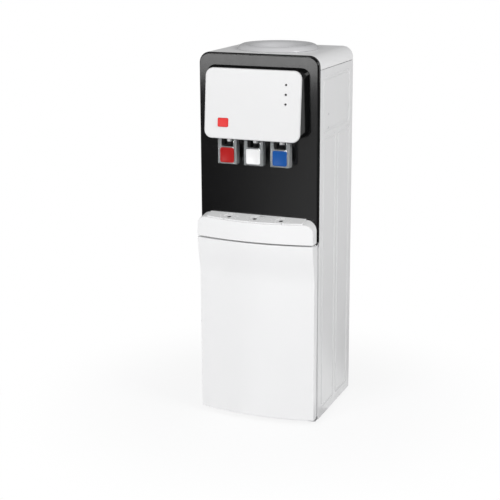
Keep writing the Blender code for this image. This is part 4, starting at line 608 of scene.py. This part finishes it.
# Depths behind the plate's face of the button's back, shoulder, face and dish
BUTTON_BACK, BUTTON_SHOULDER, BUTTON_FACE, BUTTON_DISH = 0.0085, -0.0004, -0.0015, -0.0011
DISH_BORDER, DISH_RADIUS = 0.004, 0.001
LIGHT_X, LIGHT_ZS, LIGHT_RADIUS = 0.0875, (0.879, 0.8555, 0.832), 0.0030
CUT_NEAR, CUT_FAR = -0.17, -0.12
FASCIA_HIGH, FASCIA_EDGE, FASCIA_WALL, FACE_STEPS = TOP - 0.0037, 0.0014, 0.0016, 12
FLANGE_THICK = 0.0012
# The inset and the distance forward of the rings between the flange and the face
FLANGE_BLEND = ((-0.0004, 0.0015), (0, 0.002))
FASCIA_HOLE = (-0.105, -0.13, 0.765), (0.105, -0.08, 0.885)
POD_BASE = (-0.1345, 0.1345, 0.746, 0.917)
POD_INSET, POD_EDGE, POD_WALL, POD_LEVELS = 0.0015, 0.002, 0.0022, 9
POD_LIGHTS = (0.0848, CUT_NEAR, 0.828), (0.0902, CUT_FAR, 0.883)
OPENING_HALF, OPENING_YS, OPENING_ZS = 0.027, (-0.148, -0.112), (0.730, 0.7510)
HOUSING_CORNER, HOUSING_LOW_EDGE, HOUSING_TOP_EDGE = 0.002, 0.0012, 0.0022
HOUSING_ROOM = (-0.150, -0.1335, 0.4852), (0.150, -0.09, 0.5035)
WELL_MARGIN, WELL_HALF, WELL_BACK, WELL_ZS = 0.0067, 0.1283, -0.09, (0.5067, 0.56)
TRAY_MARGIN, TRAY_HALF, TRAY_LOW, TRAY_WALL, TRAY_RIM = 0.007, 0.128, 0.507, 0.0018, 0.0004
TRAY_CORNER, TRAY_STEPS = 0.004, 24
LEAN_SLOPE, LEAN_LOW = 0.2, 0.500
GRILLE_THICK, GRILLE_MIDDLE, GRILLE_HOLES = 0.0025, -0.1350, 10
GRILLE_MARGIN, GRILLE_HALF, GRILLE_SOFT = 0.004, 0.1298, 0.0007
GRILLE_ACROSS, GRILLE_ALONG, GRILLE_DRAIN, GRILLE_HOLE = 0.0245, 0.0150, 0.0058, 0.0024


def plate_y(x, z):
    """The Y of the sloping plate's face."""
    share = (PLATE[3] - z) / (PLATE[3] - PLATE[2])
    return FRONT - PLATE_REACH - share * PLATE_LEAN


def behind(depth):
    """A surface that lies a depth behind the plate's face."""
    return lambda x, z: plate_y(x, z) + depth


def rolled(face, radius, edge, steps, corner_steps, surface):
    """Rings that round a face's edge over; surface gives the place of each depth behind the face."""
    return [front_ring(rounded(*inset(*face, by), radius - by, corner_steps), surface(depth))
            for by, depth in edge_steps(edge, steps)]


def button_shape(grow=0.0):
    """The button's outline from the front, enlarged."""
    return rounded(*inset(*BUTTON, -grow), BUTTON_RADIUS + grow, 5)


def button_well():
    """A tool for the opening round the button."""
    return slab("well", button_shape(BUTTON_PLAY), CUT_NEAR, CUT_FAR)


def make_control_plate():
    """The sloping white plate, with a well for the button and three indicator holes."""
    rings = [front_ring(rounded(*PLATE, PLATE_RADIUS, PLATE_STEPS), behind(PLATE_THICK))]
    rings += rolled(PLATE, PLATE_RADIUS, PLATE_EDGE, 6, PLATE_STEPS, behind)
    plate = skinned("control_plate_form", rings)
    lights = [pin("light", LIGHT_RADIUS, (LIGHT_X, CUT_NEAR, z), (LIGHT_X, CUT_FAR, z)) for z in LIGHT_ZS]
    cut(plate, button_well(), *lights)
    dress(plate, "white_plastic", 38, even=True)
    # The plate wears the darker copy of the white plastic, painted shade in place of less light on its face
    plate.data.materials[0] = MATERIALS["plate_plastic"]
    stand_for(plate, "control_plate")


def make_button():
    """The red button, its face dished very slightly."""
    outline = button_shape()
    rings = [front_ring(outline, plate_y(0, BUTTON_Z) + BUTTON_BACK),
             front_ring(outline, behind(BUTTON_SHOULDER))]
    rings += rolled(BUTTON, BUTTON_RADIUS, BUTTON_EDGE, 5, 5, lambda depth: behind(depth + BUTTON_FACE))
    dish = rounded(*inset(*BUTTON, DISH_BORDER), DISH_RADIUS, 5)
    rings.append(front_ring(dish, behind(BUTTON_DISH)))
    stand_for(dress(skinned("hot_lock_button_form", rings), "red_plastic", 38), "hot_lock_button")


def make_fascia():
    """The flat glossy panel, with a soft edge and a thin flange out to the cabinet's sides."""
    flange = rounded(-HALF, HALF, FASCIA_LOW, TOP, (0, 0, CORNER_RADIUS, CORNER_RADIUS), FACE_STEPS)

    def face_ring(by, y):
        r = FACE_RADIUS - by
        sides = (-FACE_HALF + by, FACE_HALF - by, FASCIA_LOW, FASCIA_HIGH - by)
        return front_ring(rounded(*sides, (0, 0, r, r), FACE_STEPS), y)

    rings = [front_ring(flange, FRONT - out) for out in (GAP, FLANGE_THICK)]
    rings += [face_ring(by, FRONT - out) for by, out in FLANGE_BLEND]
    rings += [face_ring(by, FASCIA_FRONT + depth) for by, depth in edge_steps(FASCIA_EDGE)]
    panel = skinned("fascia_form", rings, first_cap=False)
    thick(panel, FASCIA_WALL, facing(panel, BACKWARD))
    cut(panel, box_of("hole", *FASCIA_HOLE))
    stand_for(dress(panel, "black_plastic", 34, even=True), "fascia")


def make_pod():
    """The black housing between the fascia and the sloping plate, open below for the taps."""
    face = inset(*PLATE, POD_INSET)
    root = FASCIA_FRONT - GAP
    tip = PLATE_THICK + GAP
    rings = [front_ring(rounded(*POD_BASE, PLATE_RADIUS, PLATE_STEPS), root)]
    for k in range(1, POD_LEVELS):
        t = k / POD_LEVELS
        edge = [b - (b - f) * t for b, f in zip(POD_BASE, face)]
        rings.append([(x, root * (1 - t) + (plate_y(x, z) + tip + POD_EDGE) * t, z)
                      for x, z in rounded(*edge, PLATE_RADIUS, PLATE_STEPS)])
    rings += rolled(face, PLATE_RADIUS, POD_EDGE, 4, PLATE_STEPS, lambda depth: behind(tip + depth))
    pod = skinned("pod_housing_form", rings, first_cap=False)
    thick(pod, POD_WALL, facing(pod, BACKWARD))
    low, high = zip(OPENING_YS, OPENING_ZS)
    openings = [box_of("opening", (x - OPENING_HALF, *low), (x + OPENING_HALF, *high))
                for x in TAP_XS.values()]
    cut(pod, button_well(), box_of("lights", *POD_LIGHTS), *openings)
    stand_for(dress(pod, "black_plastic", 34, even=True), "pod_housing")


def leaned(obj):
    """Lets the top of the tray's pieces fall towards the front, more the higher a point lies."""
    for vert in obj.data.vertices:
        share = max(0.0, min(1.0, (vert.co.z - LEAN_LOW) / (HOUSING_HIGH - LEAN_LOW)))
        vert.co.z -= LEAN_SLOPE * max(0.0, FASCIA_FRONT - vert.co.y) * share
    return obj


def tray_ring(margin, half, back):
    """The drip tray's plan, counter-clockwise, with round front corners."""
    edge = crown(half, FACE_HALF, HOUSING_EDGE, HOUSING_RISE) + margin
    rise = HOUSING_RISE * (half / FACE_HALF) ** 2
    corners = []
    for i in range(TRAY_STEPS + 1):
        x = -half + 2 * half * i / TRAY_STEPS
        corners.append((x, crown(x, half, edge, rise), TRAY_CORNER if i in (0, TRAY_STEPS) else 0))
    return softened(corners + [(half, back, 0.001), (-half, back, 0.001)], 4)


def make_tray_housing():
    """The white shell round the drip tray, crowned across, rounded down at its sides."""
    shoulders = [round(side * (FACE_HALF - depth), 7)
                 for _, depth in quarter(HOUSING_RADIUS, range(5, 90, 8)) for side in (-1, 1)]
    back = FASCIA_FRONT - GAP
    stations = []
    for x in sorted(set(across(FACE_HALF, HOUSING_CORNER, 26, 6) + shoulders)):
        top = HOUSING_HIGH - fall(abs(x) - (FACE_HALF - HOUSING_RADIUS), HOUSING_RADIUS)
        y = crown(x, FACE_HALF, HOUSING_EDGE, HOUSING_RISE)
        y += fall(abs(x) - (FACE_HALF - HOUSING_CORNER), HOUSING_CORNER)
        profile = [(back, FASCIA_LOW)]
        low_edge = quarter(HOUSING_LOW_EDGE, (0, 22, 45, 68, 90))
        profile += [(y + depth, FASCIA_LOW + by) for by, depth in low_edge]
        profile += [(y, FASCIA_LOW + (top - FASCIA_LOW) * k / 6) for k in range(1, 5)]
        profile += [(y + by, top - depth) for by, depth in edge_steps(HOUSING_TOP_EDGE, 6)]
        profile.append((back, top))
        stations.append([(x, py, pz) for py, pz in profile])
    shell = skinned("tray_housing_form", stations)
    well = tray_ring(WELL_MARGIN, WELL_HALF, WELL_BACK)
    cut(shell, skinned("well", [flat_ring(well, z) for z in WELL_ZS]), box_of("room", *HOUSING_ROOM))
    stand_for(dress(leaned(shell), "white_plastic", 36, even=True), "tray_housing")


def make_drip_tray():
    """The lift-out tray, a basin with a soft rim."""
    back = FASCIA_FRONT - 2 * GAP
    outer = tray_ring(TRAY_MARGIN, TRAY_HALF, back)
    inner = tray_ring(TRAY_MARGIN + TRAY_WALL, TRAY_HALF - TRAY_WALL, back - TRAY_WALL)
    levels = ((outer, TRAY_LOW), (outer, HOUSING_HIGH - TRAY_RIM),
              (blend_rings(outer, inner, 0.25), HOUSING_HIGH),
              (blend_rings(outer, inner, 0.75), HOUSING_HIGH),
              (inner, HOUSING_HIGH - TRAY_RIM), (inner, TRAY_LOW + TRAY_WALL))
    tray = skinned("drip_tray_form", [flat_ring(outline, z) for outline, z in levels])
    stand_for(dress(leaned(tray), "white_plastic", 36), "drip_tray")


def make_grille():
    """The grille, with a dished rosette of holes under each tap."""
    back = FASCIA_FRONT - 2 * GAP
    low = HOUSING_HIGH + GAP
    high = low + GRILLE_THICK
    outer = tray_ring(GRILLE_MARGIN, GRILLE_HALF, back)
    inner = tray_ring(GRILLE_MARGIN + GRILLE_SOFT, GRILLE_HALF - GRILLE_SOFT, back - GRILLE_SOFT)
    plate = skinned("drip_grille_form", [flat_ring(outer, low), flat_ring(outer, high - 0.0006),
                                         flat_ring(blend_rings(outer, inner, 0.35), high - 0.0002),
                                         flat_ring(inner, high)])

    def hole(radius, x, y, sides):
        return pin("hole", radius, (x, y, low - 0.002), (x, y, high + 0.004), sides)

    dish = [(0.0001, high + 0.002), (0.0155, high + 0.002), (0.0147, high - 0.0001), (0.0135, high - 0.0011),
            (0.0001, high - 0.0011)]
    tools = []
    for x in TAP_XS.values():
        tools.append(lathe("dish", dish, (x, GRILLE_MIDDLE), 48))
        tools.append(hole(GRILLE_DRAIN, x, GRILLE_MIDDLE, 24))
        for t in full_turns(GRILLE_HOLES):
            spot = x + GRILLE_ACROSS * math.cos(t), GRILLE_MIDDLE + GRILLE_ALONG * math.sin(t)
            tools.append(hole(GRILLE_HOLE, *spot, 12))
    cut(plate, *tools)
    stand_for(dress(leaned(plate), "white_plastic", 36, even=True), "drip_grille")


# Door

DOOR_RISE, DOOR_FLARE, DOOR_FLARE_HIGH = 0.020, 0.015, 0.105
DOOR_SIDE_EDGE, DOOR_END_EDGE, DOOR_WALL = 0.0018, 0.0022, 0.0023
DOOR_LEVELS = 40
HINGE_AT, HINGE_RADIUS, HINGE_ZS = (0.150, -0.118), 0.0028, ((0.005, 0.018), (0.472, 0.482))
GRIP, GRIP_RADIUS, GRIP_YS = (-0.1650, -0.1536, 0.245, 0.355), 0.002, (-0.1137, -0.10)


def door_front(x, z):
    """The Y of the door's crowned face, which comes forward towards its top."""
    over = (z - (DOOR_HIGH - DOOR_FLARE_HIGH)) / DOOR_FLARE_HIGH
    return crown(x, FACE_HALF, DOOR_EDGE, DOOR_RISE) - DOOR_FLARE * smooth(over)


def make_door():
    """The door's outer shell: a crowned face with soft edges, flared towards its top."""
    xs = across(FACE_HALF, DOOR_SIDE_EDGE, 30, 6)
    ends = [by for by, _ in edge_steps(DOOR_END_EDGE, 5)]
    zs = [DOOR_LOW + by for by in ends] + [DOOR_HIGH - by for by in ends]
    zs += [DOOR_LOW + (DOOR_HIGH - DOOR_LOW) * k / DOOR_LEVELS for k in range(1, DOOR_LEVELS)]
    rows = []
    for z in sorted(set(round(z, 7) for z in zs)):
        end = fall(DOOR_END_EDGE - min(z - DOOR_LOW, DOOR_HIGH - z), DOOR_END_EDGE)
        row = []
        for x in xs:
            side = fall(DOOR_SIDE_EDGE - (FACE_HALF - abs(x)), DOOR_SIDE_EDGE)
            row.append((x, door_front(x, z) + side + end, z))
        rows.append(row)
    shell = sheeted("door_outer_form", rows, DOOR_BACK)
    thick(shell, DOOR_WALL, facing(shell, BACKWARD))
    hinges = [pin("hinge", HINGE_RADIUS, (*HINGE_AT, low), (*HINGE_AT, high)) for low, high in HINGE_ZS]
    cut(shell, *hinges, slab("grip", rounded(*GRIP, GRIP_RADIUS, 4), *GRIP_YS))
    stand_for(dress(shell, "white_plastic", 36, even=True), "door_outer")


# Cabinet

SEAM_GAP = 0.0012
EMBOSS = (
    (FRONT + 0.022, BACK - 0.025, 0.753, COVER_SEAM - 0.020),
    (FRONT + 0.022, MIDDLE - 0.007, 0.030, 0.744),
    (MIDDLE + 0.007, BACK - 0.025, 0.030, 0.744),
)
RECESS_RADIUS, RECESS_SLOPE, RECESS_BOTTOM = 0.012, 0.0025, 0.0045
RECESS_DEPTH, RECESS_FIELD = 0.0026, 0.0003
SHEET, SHEET_BEND, SHEET_FOLD = 0.0012, 0.002, 0.014
SIDE_YS = (FRONT + 0.002, FRONT + 0.018, FRONT + 0.038, MIDDLE - 0.024, MIDDLE + 0.024,
           BACK - 0.038, BACK - 0.018, BACK - 0.002)
SIDE_Y_STEPS = (0.008, 0.0009, 0.02, 0.0009, 0.02, 0.0009, 0.008)
SIDE_ZS = (BASE, 0.026, 0.046, 0.730, 0.768, 0.879, 0.897, COVER_SEAM - SEAM_GAP)
SIDE_Z_STEPS = (0.009, 0.0010, 0.04, 0.0010, 0.03, 0.0010, 0.008)
COVER_FRONT_EDGE, COVER_BACK_EDGE, COVER_WALL, COVER_LEVELS = 0.0010, 0.003, 0.0025, 24
COVER_RIM, MOUTH_RADIUS = 0.014, 0.0783


def recess_depth(y, z, zone):
    """How deep a pressed recess is at a place: a groove round its border, and a nearly flush field inside."""
    y0, y1, z0, z1 = zone
    dy = max(y0 + RECESS_RADIUS - y, y - y1 + RECESS_RADIUS)
    dz = max(z0 + RECESS_RADIUS - z, z - z1 + RECESS_RADIUS)
    inside = RECESS_RADIUS - (math.hypot(dy, dz) if dy > 0 and dz > 0 else max(dy, dz))
    rise = smooth((inside - RECESS_SLOPE - RECESS_BOTTOM) / RECESS_SLOPE)
    return RECESS_DEPTH * smooth(inside / RECESS_SLOPE) - (RECESS_DEPTH - RECESS_FIELD) * rise


def make_side_panel(side, word):
    """A painted sheet side with its three pressed recesses, folded in at both ends."""
    ys = ladder(SIDE_YS, SIDE_Y_STEPS)
    front_bend = [(HALF - by, FRONT + depth) for by, depth in quarter(SHEET_BEND, (90, 60, 30))]
    back_bend = [(HALF - by, BACK - depth) for by, depth in quarter(SHEET_BEND, (30, 60, 90))]
    rows = []
    for z in ladder(SIDE_ZS, SIDE_Z_STEPS):
        face = [(HALF - max(recess_depth(y, z, zone) for zone in EMBOSS), y) for y in ys]
        row = [(HALF - SHEET_FOLD, FRONT)] + front_bend + face + back_bend + [(HALF - SHEET_FOLD, BACK)]
        rows.append([(side * x, y, z) for x, y in row])
    panel = sheeted(f"side_panel_{word}_form", rows)
    thick(panel, SHEET, -facing(panel, (side, 0, 0)))
    stand_for(dress(panel, "white_enamel", 50), f"side_panel_{word}")


def arch(by=0.0, bottom=COVER_SEAM):
    """The cover's outline from the front, drawn in by a distance."""
    half, top, radius = HALF - by, TOP - by, CORNER_RADIUS - by
    return ([(half, bottom)] + arc(half - radius, top - radius, radius, 0, 90, 18)
            + arc(-half + radius, top - radius, radius, 90, 180, 18) + [(-half, bottom)])


def make_top_cover():
    """The moulded top: flat, with large side roundings and a soft rear edge."""
    front, back = FRONT + COVER_FRONT_EDGE, BACK - COVER_BACK_EDGE
    rings = [front_ring(arch(by), FRONT + depth) for by, depth in quarter(COVER_FRONT_EDGE, (90, 55, 25, 0))]
    rings += [front_ring(arch(), front + (back - front) * k / COVER_LEVELS) for k in range(1, COVER_LEVELS)]
    back_edge = quarter(COVER_BACK_EDGE, (0, 22, 45, 67, 90))
    rings += [front_ring(arch(by), BACK - depth) for by, depth in back_edge]
    cover = skinned("top_cover_form", rings)
    below = COVER_SEAM - 0.002
    corner = CORNER_RADIUS - COVER_RIM
    sides = (-HALF + COVER_RIM, HALF - COVER_RIM, below, TOP - COVER_RIM)
    window = rounded(*sides, (0, 0, corner, corner))
    cut(cover, slab("hollow", arch(COVER_WALL, below), FRONT + COVER_WALL, BACK - COVER_WALL),
        slab("window", window, FRONT - 0.002, FRONT + COVER_WALL + 0.001),
        pin("mouth", MOUTH_RADIUS, (0, MIDDLE, TOP - 0.006), (0, MIDDLE, TOP + 0.002), 96))
    stand_for(dress(cover, "white_plastic", 36, even=True), "top_cover")


def make_collar():
    """The bottle seat: a domed ring, a rounded rim, a dished mouth and a funnel."""
    seat = TOP + GAP
    profile = softened([
        (0.0690, 0.9520, 0.004), (0.0735, 0.9562, 0.008), (0.0868, 0.9596, 0.010), (0.0912, 0.9600, 0.003),
        (0.0975, 0.9572, 0.010), (0.1018, 0.9520, 0.006), (0.1040, seat, 0.0004), (0.0780, seat, 0.0004),
        (0.0780, seat - 0.005, 0.001), (0.0755, seat - 0.0075, 0.003), (0.0225, 0.910, 0.004),
        (0.0200, 0.893, 0.0004), (0.0175, 0.893, 0.0004), (0.0176, 0.9124, 0.005), (0.0640, 0.9415, 0.008),
    ], 6)
    collar = lathe("bottle_collar_form", profile, (0, MIDDLE), 144)
    stand_for(dress(collar, "collar_plastic", 40), "bottle_collar")


# Taps

TAP_Y, TAP_PORT_Z = -0.127, 0.780
PADDLE_FRONT, PADDLE_LOW, PADDLE_HALF, PADDLE_WALL = -0.1435, 0.674, 0.025, 0.0022
PADDLE_OUTLINE = (
    (PADDLE_FRONT, PADDLE_LOW, 0.0012), (-0.1275, PADDLE_LOW, 0.0035), (-0.1235, 0.678, 0.0035),
    (-0.1235, 0.7185, 0.004), (-0.133, 0.7418, 0.002), (-0.136, 0.7532, 0.002), (-0.1427, 0.7532, 0.0015),
    (PADDLE_FRONT, 0.7396, 0.001),
)
INSERT_FRONT, INSERT_BACK, INSERT_RADIUS, INSERT_EDGE = -0.1460, -0.1438, 0.0045, 0.0008
INSERT_HALF, INSERT_LOW, INSERT_HIGH = 0.0185, 0.678, 0.7155
AXLE_RADIUS, AXLE_HALF, AXLE_Y, AXLE_Z = 0.0018, 0.03, -0.139, 0.7495
TAP_BLOCK = (-0.144, -0.116)
# Heights of the tap's block, each with the inset of its bevelled ends
TAP_LEVELS = ((0.744, 0.0008), (0.7448, 0), (0.7952, 0), (0.796, 0.0008))
TAP_NOZZLE = ((0.0001, 0.750), (0.0095, 0.750), (0.0095, 0.7425), (0.0085, 0.7415), (0.0065, 0.7405),
              (0.0065, 0.7302), (0.0061, 0.7290), (0.0001, 0.7290))
TAP_BARB = ((-0.118, 0.0050), (-0.1045, 0.0043), (-0.1045, 0.0050), (-0.1040, 0.0042))


def axle_hole(x):
    """The hole through a tap and its paddle, on the paddle's axis."""
    return pin("hole", AXLE_RADIUS, (x - AXLE_HALF, AXLE_Y, AXLE_Z), (x + AXLE_HALF, AXLE_Y, AXLE_Z))


def make_paddle(key, x):
    """A clear moulded lever, open behind, notched in front of its nozzle."""
    wing = softened(PADDLE_OUTLINE, 4)
    sides = [[(x + side * PADDLE_HALF, y, z) for y, z in wing] for side in (-1, 1)]
    lever = skinned(f"paddle_{key}_form", sides)
    left, right = x - PADDLE_HALF + PADDLE_WALL, x + PADDLE_HALF - PADDLE_WALL
    inner = PADDLE_FRONT + PADDLE_WALL
    high = 0.760
    room = slab("room", rounded(left, right, PADDLE_LOW + PADDLE_WALL, high, 0.0015, 4), inner, -0.110)
    notch = slab("notch", rounded(x - 0.0165, x + 0.0165, 0.7185, high, (0.004, 0.004, 0, 0), 6),
                 -0.1455, inner + 0.002)
    throat = box_of("throat", (left, -0.1475, 0.738), (right, inner + 0.002, high))
    cut(lever, room, notch, throat, axle_hole(x))
    soften(lever, 0.0005, 2, 50)
    stand_for(dress(applied(lever), "clear_plastic", 40), f"paddle_{key}")


def make_insert(key, x, slot):
    """The coloured tile on a paddle: a rounded slab with a shallow panel in its face."""
    face = (x - INSERT_HALF, x + INSERT_HALF, INSERT_LOW, INSERT_HIGH)
    outline = rounded(*face, INSERT_RADIUS)
    rings = [front_ring(outline, INSERT_BACK), front_ring(outline, INSERT_FRONT + INSERT_EDGE)]
    rings += rolled(face, INSERT_RADIUS, INSERT_EDGE, 4, 8, lambda depth: INSERT_FRONT + depth)
    for by, radius, depth in ((0.0024, 0.0022, 0), (0.0029, 0.0018, 0.0004)):
        rings.append(front_ring(rounded(*inset(*face, by), radius), INSERT_FRONT + depth))
    tile = dress(skinned(f"paddle_insert_{key}_form", rings), slot, 38)
    if key == "hot":
        tile.data.materials[0] = MATERIALS["insert_red"]
    stand_for(tile, f"paddle_insert_{key}")


def make_tap(key, x):
    """A white tap: a rounded block with a nozzle below, a bore for the stem, and a hose barb behind."""
    block = (x - 0.015, x + 0.015, *TAP_BLOCK)
    rings = [flat_ring(rounded(*inset(*block, by), 0.003, 5), z) for z, by in TAP_LEVELS]
    body = skinned(f"tap_body_{key}_form", rings)
    join(body, lathe("nozzle", TAP_NOZZLE, (x, TAP_Y), 40), turned_along("barb", x, TAP_PORT_Z, TAP_BARB))
    cut(body, pin("bore", 0.0045, (x, TAP_Y, 0.725), (x, TAP_Y, 0.7935)),
        pin("guide", 0.0023, (x, TAP_Y, 0.79), (x, TAP_Y, 0.80)),
        pin("port", 0.003, (x, TAP_Y, TAP_PORT_Z), (x, -0.10, TAP_PORT_Z)), axle_hole(x))
    stand_for(dress(body, "white_plastic", 38, even=True), f"tap_body_{key}")


# Screws that ride on the cabinet

SCREW_RADIUS, REAR_SCREW_RADIUS, SCREW_SLOT = 0.0042, 0.0036, 0.0022
SIDE_SCREW_IN, SIDE_SCREW_Y, SIDE_SCREW_ZS = 0.0017, -0.037, (0.797, 0.764)
REAR_SCREW_X, REAR_SCREW_ZS = 0.1515, (0.900, 0.700, 0.500)
SCREW_HEAD = ((0.00001, 0.0017), (0.0022, 0.0016), (0.0034, 0.0011), (0.0041, 0.0004),
              (SCREW_RADIUS, -0.0004))


def make_screw(name, at, way, radius=SCREW_RADIUS):
    """A pan-head screw with a cross recess; way is the outward direction along X or Y."""
    head = [(r * radius / SCREW_RADIUS, h) for r, h in SCREW_HEAD] + [(0.00001, -0.0004)]
    work = lathe(name, head, (0, 0), 32)
    cut(work, box_of("slot", (-SCREW_SLOT, -0.0004, 0.0008), (SCREW_SLOT, 0.0004, 0.004)),
        box_of("slot", (-0.0004, -SCREW_SLOT, 0.0008), (0.0004, SCREW_SLOT, 0.004)))
    turn = Vector((0, 0, 1)).rotation_difference(Vector(way)).to_matrix().to_4x4()
    work.data.transform(Matrix.Translation(at) @ turn)
    dress(work, "steel", 40)
    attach(work, "cabinet")


def make_screws():
    """Two screws at each side's front and three down each rear edge."""
    sides = ((1, "right"), (-1, "left"))
    for side, word in sides:
        for k, z in enumerate(SIDE_SCREW_ZS):
            spot = (side * (HALF - SIDE_SCREW_IN), SIDE_SCREW_Y, z)
            make_screw(f"side_screw_{word}_{k}", spot, (side, 0, 0))
    for side, word in sides:
        for k, z in enumerate(REAR_SCREW_ZS):
            spot = (side * REAR_SCREW_X, BACK, z)
            make_screw(f"rear_screw_{word}_{k}", spot, BACKWARD, REAR_SCREW_RADIUS)


make_control_plate()
make_button()
make_fascia()
make_pod()
make_tray_housing()
make_drip_tray()
make_grille()
make_door()
make_side_panel(-1, "left")
make_side_panel(1, "right")
make_top_cover()
make_collar()
for key, slot_name in (("hot", "red_plastic"), ("room", "white_plastic"), ("cold", "blue_plastic")):
    make_paddle(key, TAP_XS[key])
    make_insert(key, TAP_XS[key], slot_name)
    make_tap(key, TAP_XS[key])
make_screws()

# The solids that no piece has replaced: the round coil and hoses stay as they are, the others get soft edges
KEPT = ("evaporator_coil", "hose_cold", "hose_hot", "hose_room")
replaced = {name for obj in bpy.data.objects for name in obj.get("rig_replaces", [])}
for node in frame["nodes"]:
    if node in replaced:
        continue
    if node in KEPT:
        dress(frame["nodes"][node], SLOT_OF[node])
    else:
        refined(node)


# Stage

FLOOR_SIZE, FLOOR_DROP = 60, 0.0004
FLOOR_COLOUR = (0.86, 0.86, 0.87, 1)
FLOOR_NEAR, FLOOR_FAR = 0.86, 1.0
FADE_START, FADE_END = 0.22, 0.75
BEARING_START, BEARING_END = -0.5, 1.5
# Strength of the floor's reflection by its bearing from the origin, x over y
GLOSSY_FLOOR = ((-0.30, 0.15), (0.05, 0.45), (0.24, 0.85), (0.30, 0.75), (0.37, 0.475), (0.44, 0.20),
                (0.50, 0.10), (0.60, 0.20), (0.90, 1.0))
WORLD_COLOUR = (0.985, 0.99, 1.0, 1)
WORLD_DIM, WORLD_SEEN = 0.34, 1.0


def make_floor():
    """A floor that the camera sees as white light, with a little of its real shading near the product."""
    bpy.ops.mesh.primitive_plane_add(size=FLOOR_SIZE, location=(0, 0, -FLOOR_DROP))
    floor = bpy.context.object
    floor.name = "floor"
    n = Nodes("floor")
    n.set(IOR=1.3, Base_Color=FLOOR_COLOUR, Roughness=0.7)
    path = n.add("ShaderNodeLightPath")
    away = n.add("ShaderNodeVectorMath", operation="LENGTH")
    n.link(n.coords, away.inputs[0])
    fade = n.ramp(away.outputs["Value"], FLOOR_NEAR, FLOOR_FAR, FADE_START, FADE_END, shape="SMOOTHSTEP")
    seen = n.maths("MAXIMUM", path.outputs["Is Camera Ray"], path.outputs["Is Transmission Ray"])
    both = n.mix(n.maths("MULTIPLY", seen, fade), n.shader.outputs[0], n.glow().outputs[0])
    # Shiny pieces mirror a dimmer floor, brighter at some bearings than at others
    place = n.add("ShaderNodeSeparateXYZ")
    n.link(n.coords, place.inputs[0])
    bearing = n.maths("DIVIDE", place.outputs["X"], place.outputs["Y"])
    turned = n.ramp(bearing, 0.0, 1.0, BEARING_START, BEARING_END)
    width = BEARING_END - BEARING_START
    stops = [((ratio - BEARING_START) / width, (level,) * 3) for ratio, level in GLOSSY_FLOOR]
    strength = n.colours(turned, stops)
    dim = n.glow()
    n.link(strength, dim.inputs["Strength"])
    mirrored = n.mix(path.outputs["Is Glossy Ray"], both, dim.outputs[0])
    n.link(mirrored, n.tree.nodes["Material Output"].inputs["Surface"])
    floor.data.materials.append(n.material)


def make_world():
    """Past the floor's end the camera sees plain white, while the pieces keep dim surroundings."""
    world = bpy.data.worlds.new("world")
    SCENE.world = world
    world.use_nodes = True
    tree = world.node_tree
    back = tree.nodes["Background"]
    back.inputs["Color"].default_value = WORLD_COLOUR
    path = tree.nodes.new("ShaderNodeLightPath")
    level = tree.nodes.new("ShaderNodeMapRange")
    level.inputs["To Min"].default_value = WORLD_DIM
    level.inputs["To Max"].default_value = WORLD_SEEN
    tree.links.new(path.outputs["Is Camera Ray"], level.inputs["Value"])
    tree.links.new(level.outputs["Result"], back.inputs["Strength"])


def lamp(name, at, aim, size, power):
    """A rectangular lamp that shines from one place to another."""
    data = bpy.data.lights.new(name, "AREA")
    data.shape = "RECTANGLE"
    data.size, data.size_y = size
    data.energy = power
    obj = bpy.data.objects.new(name, data)
    SCENE.collection.objects.link(obj)
    obj.location = at
    obj.rotation_euler = (Vector(aim) - Vector(at)).to_track_quat("-Z", "Y").to_euler()


make_floor()
make_world()
lamp("key", at=(-1.2, -3.4, 1.95), aim=(0, 0, 0.5), size=(1.4, 1.0), power=66)
lamp("strip", at=(-0.9, -2.9, 0.66), aim=(-0.2, 0, 0.8), size=(1.4, 0.26), power=6)
lamp("fill", at=(2.6, -0.8, 2.1), aim=(0, 0, 0.6), size=(1.2, 1.2), power=46)
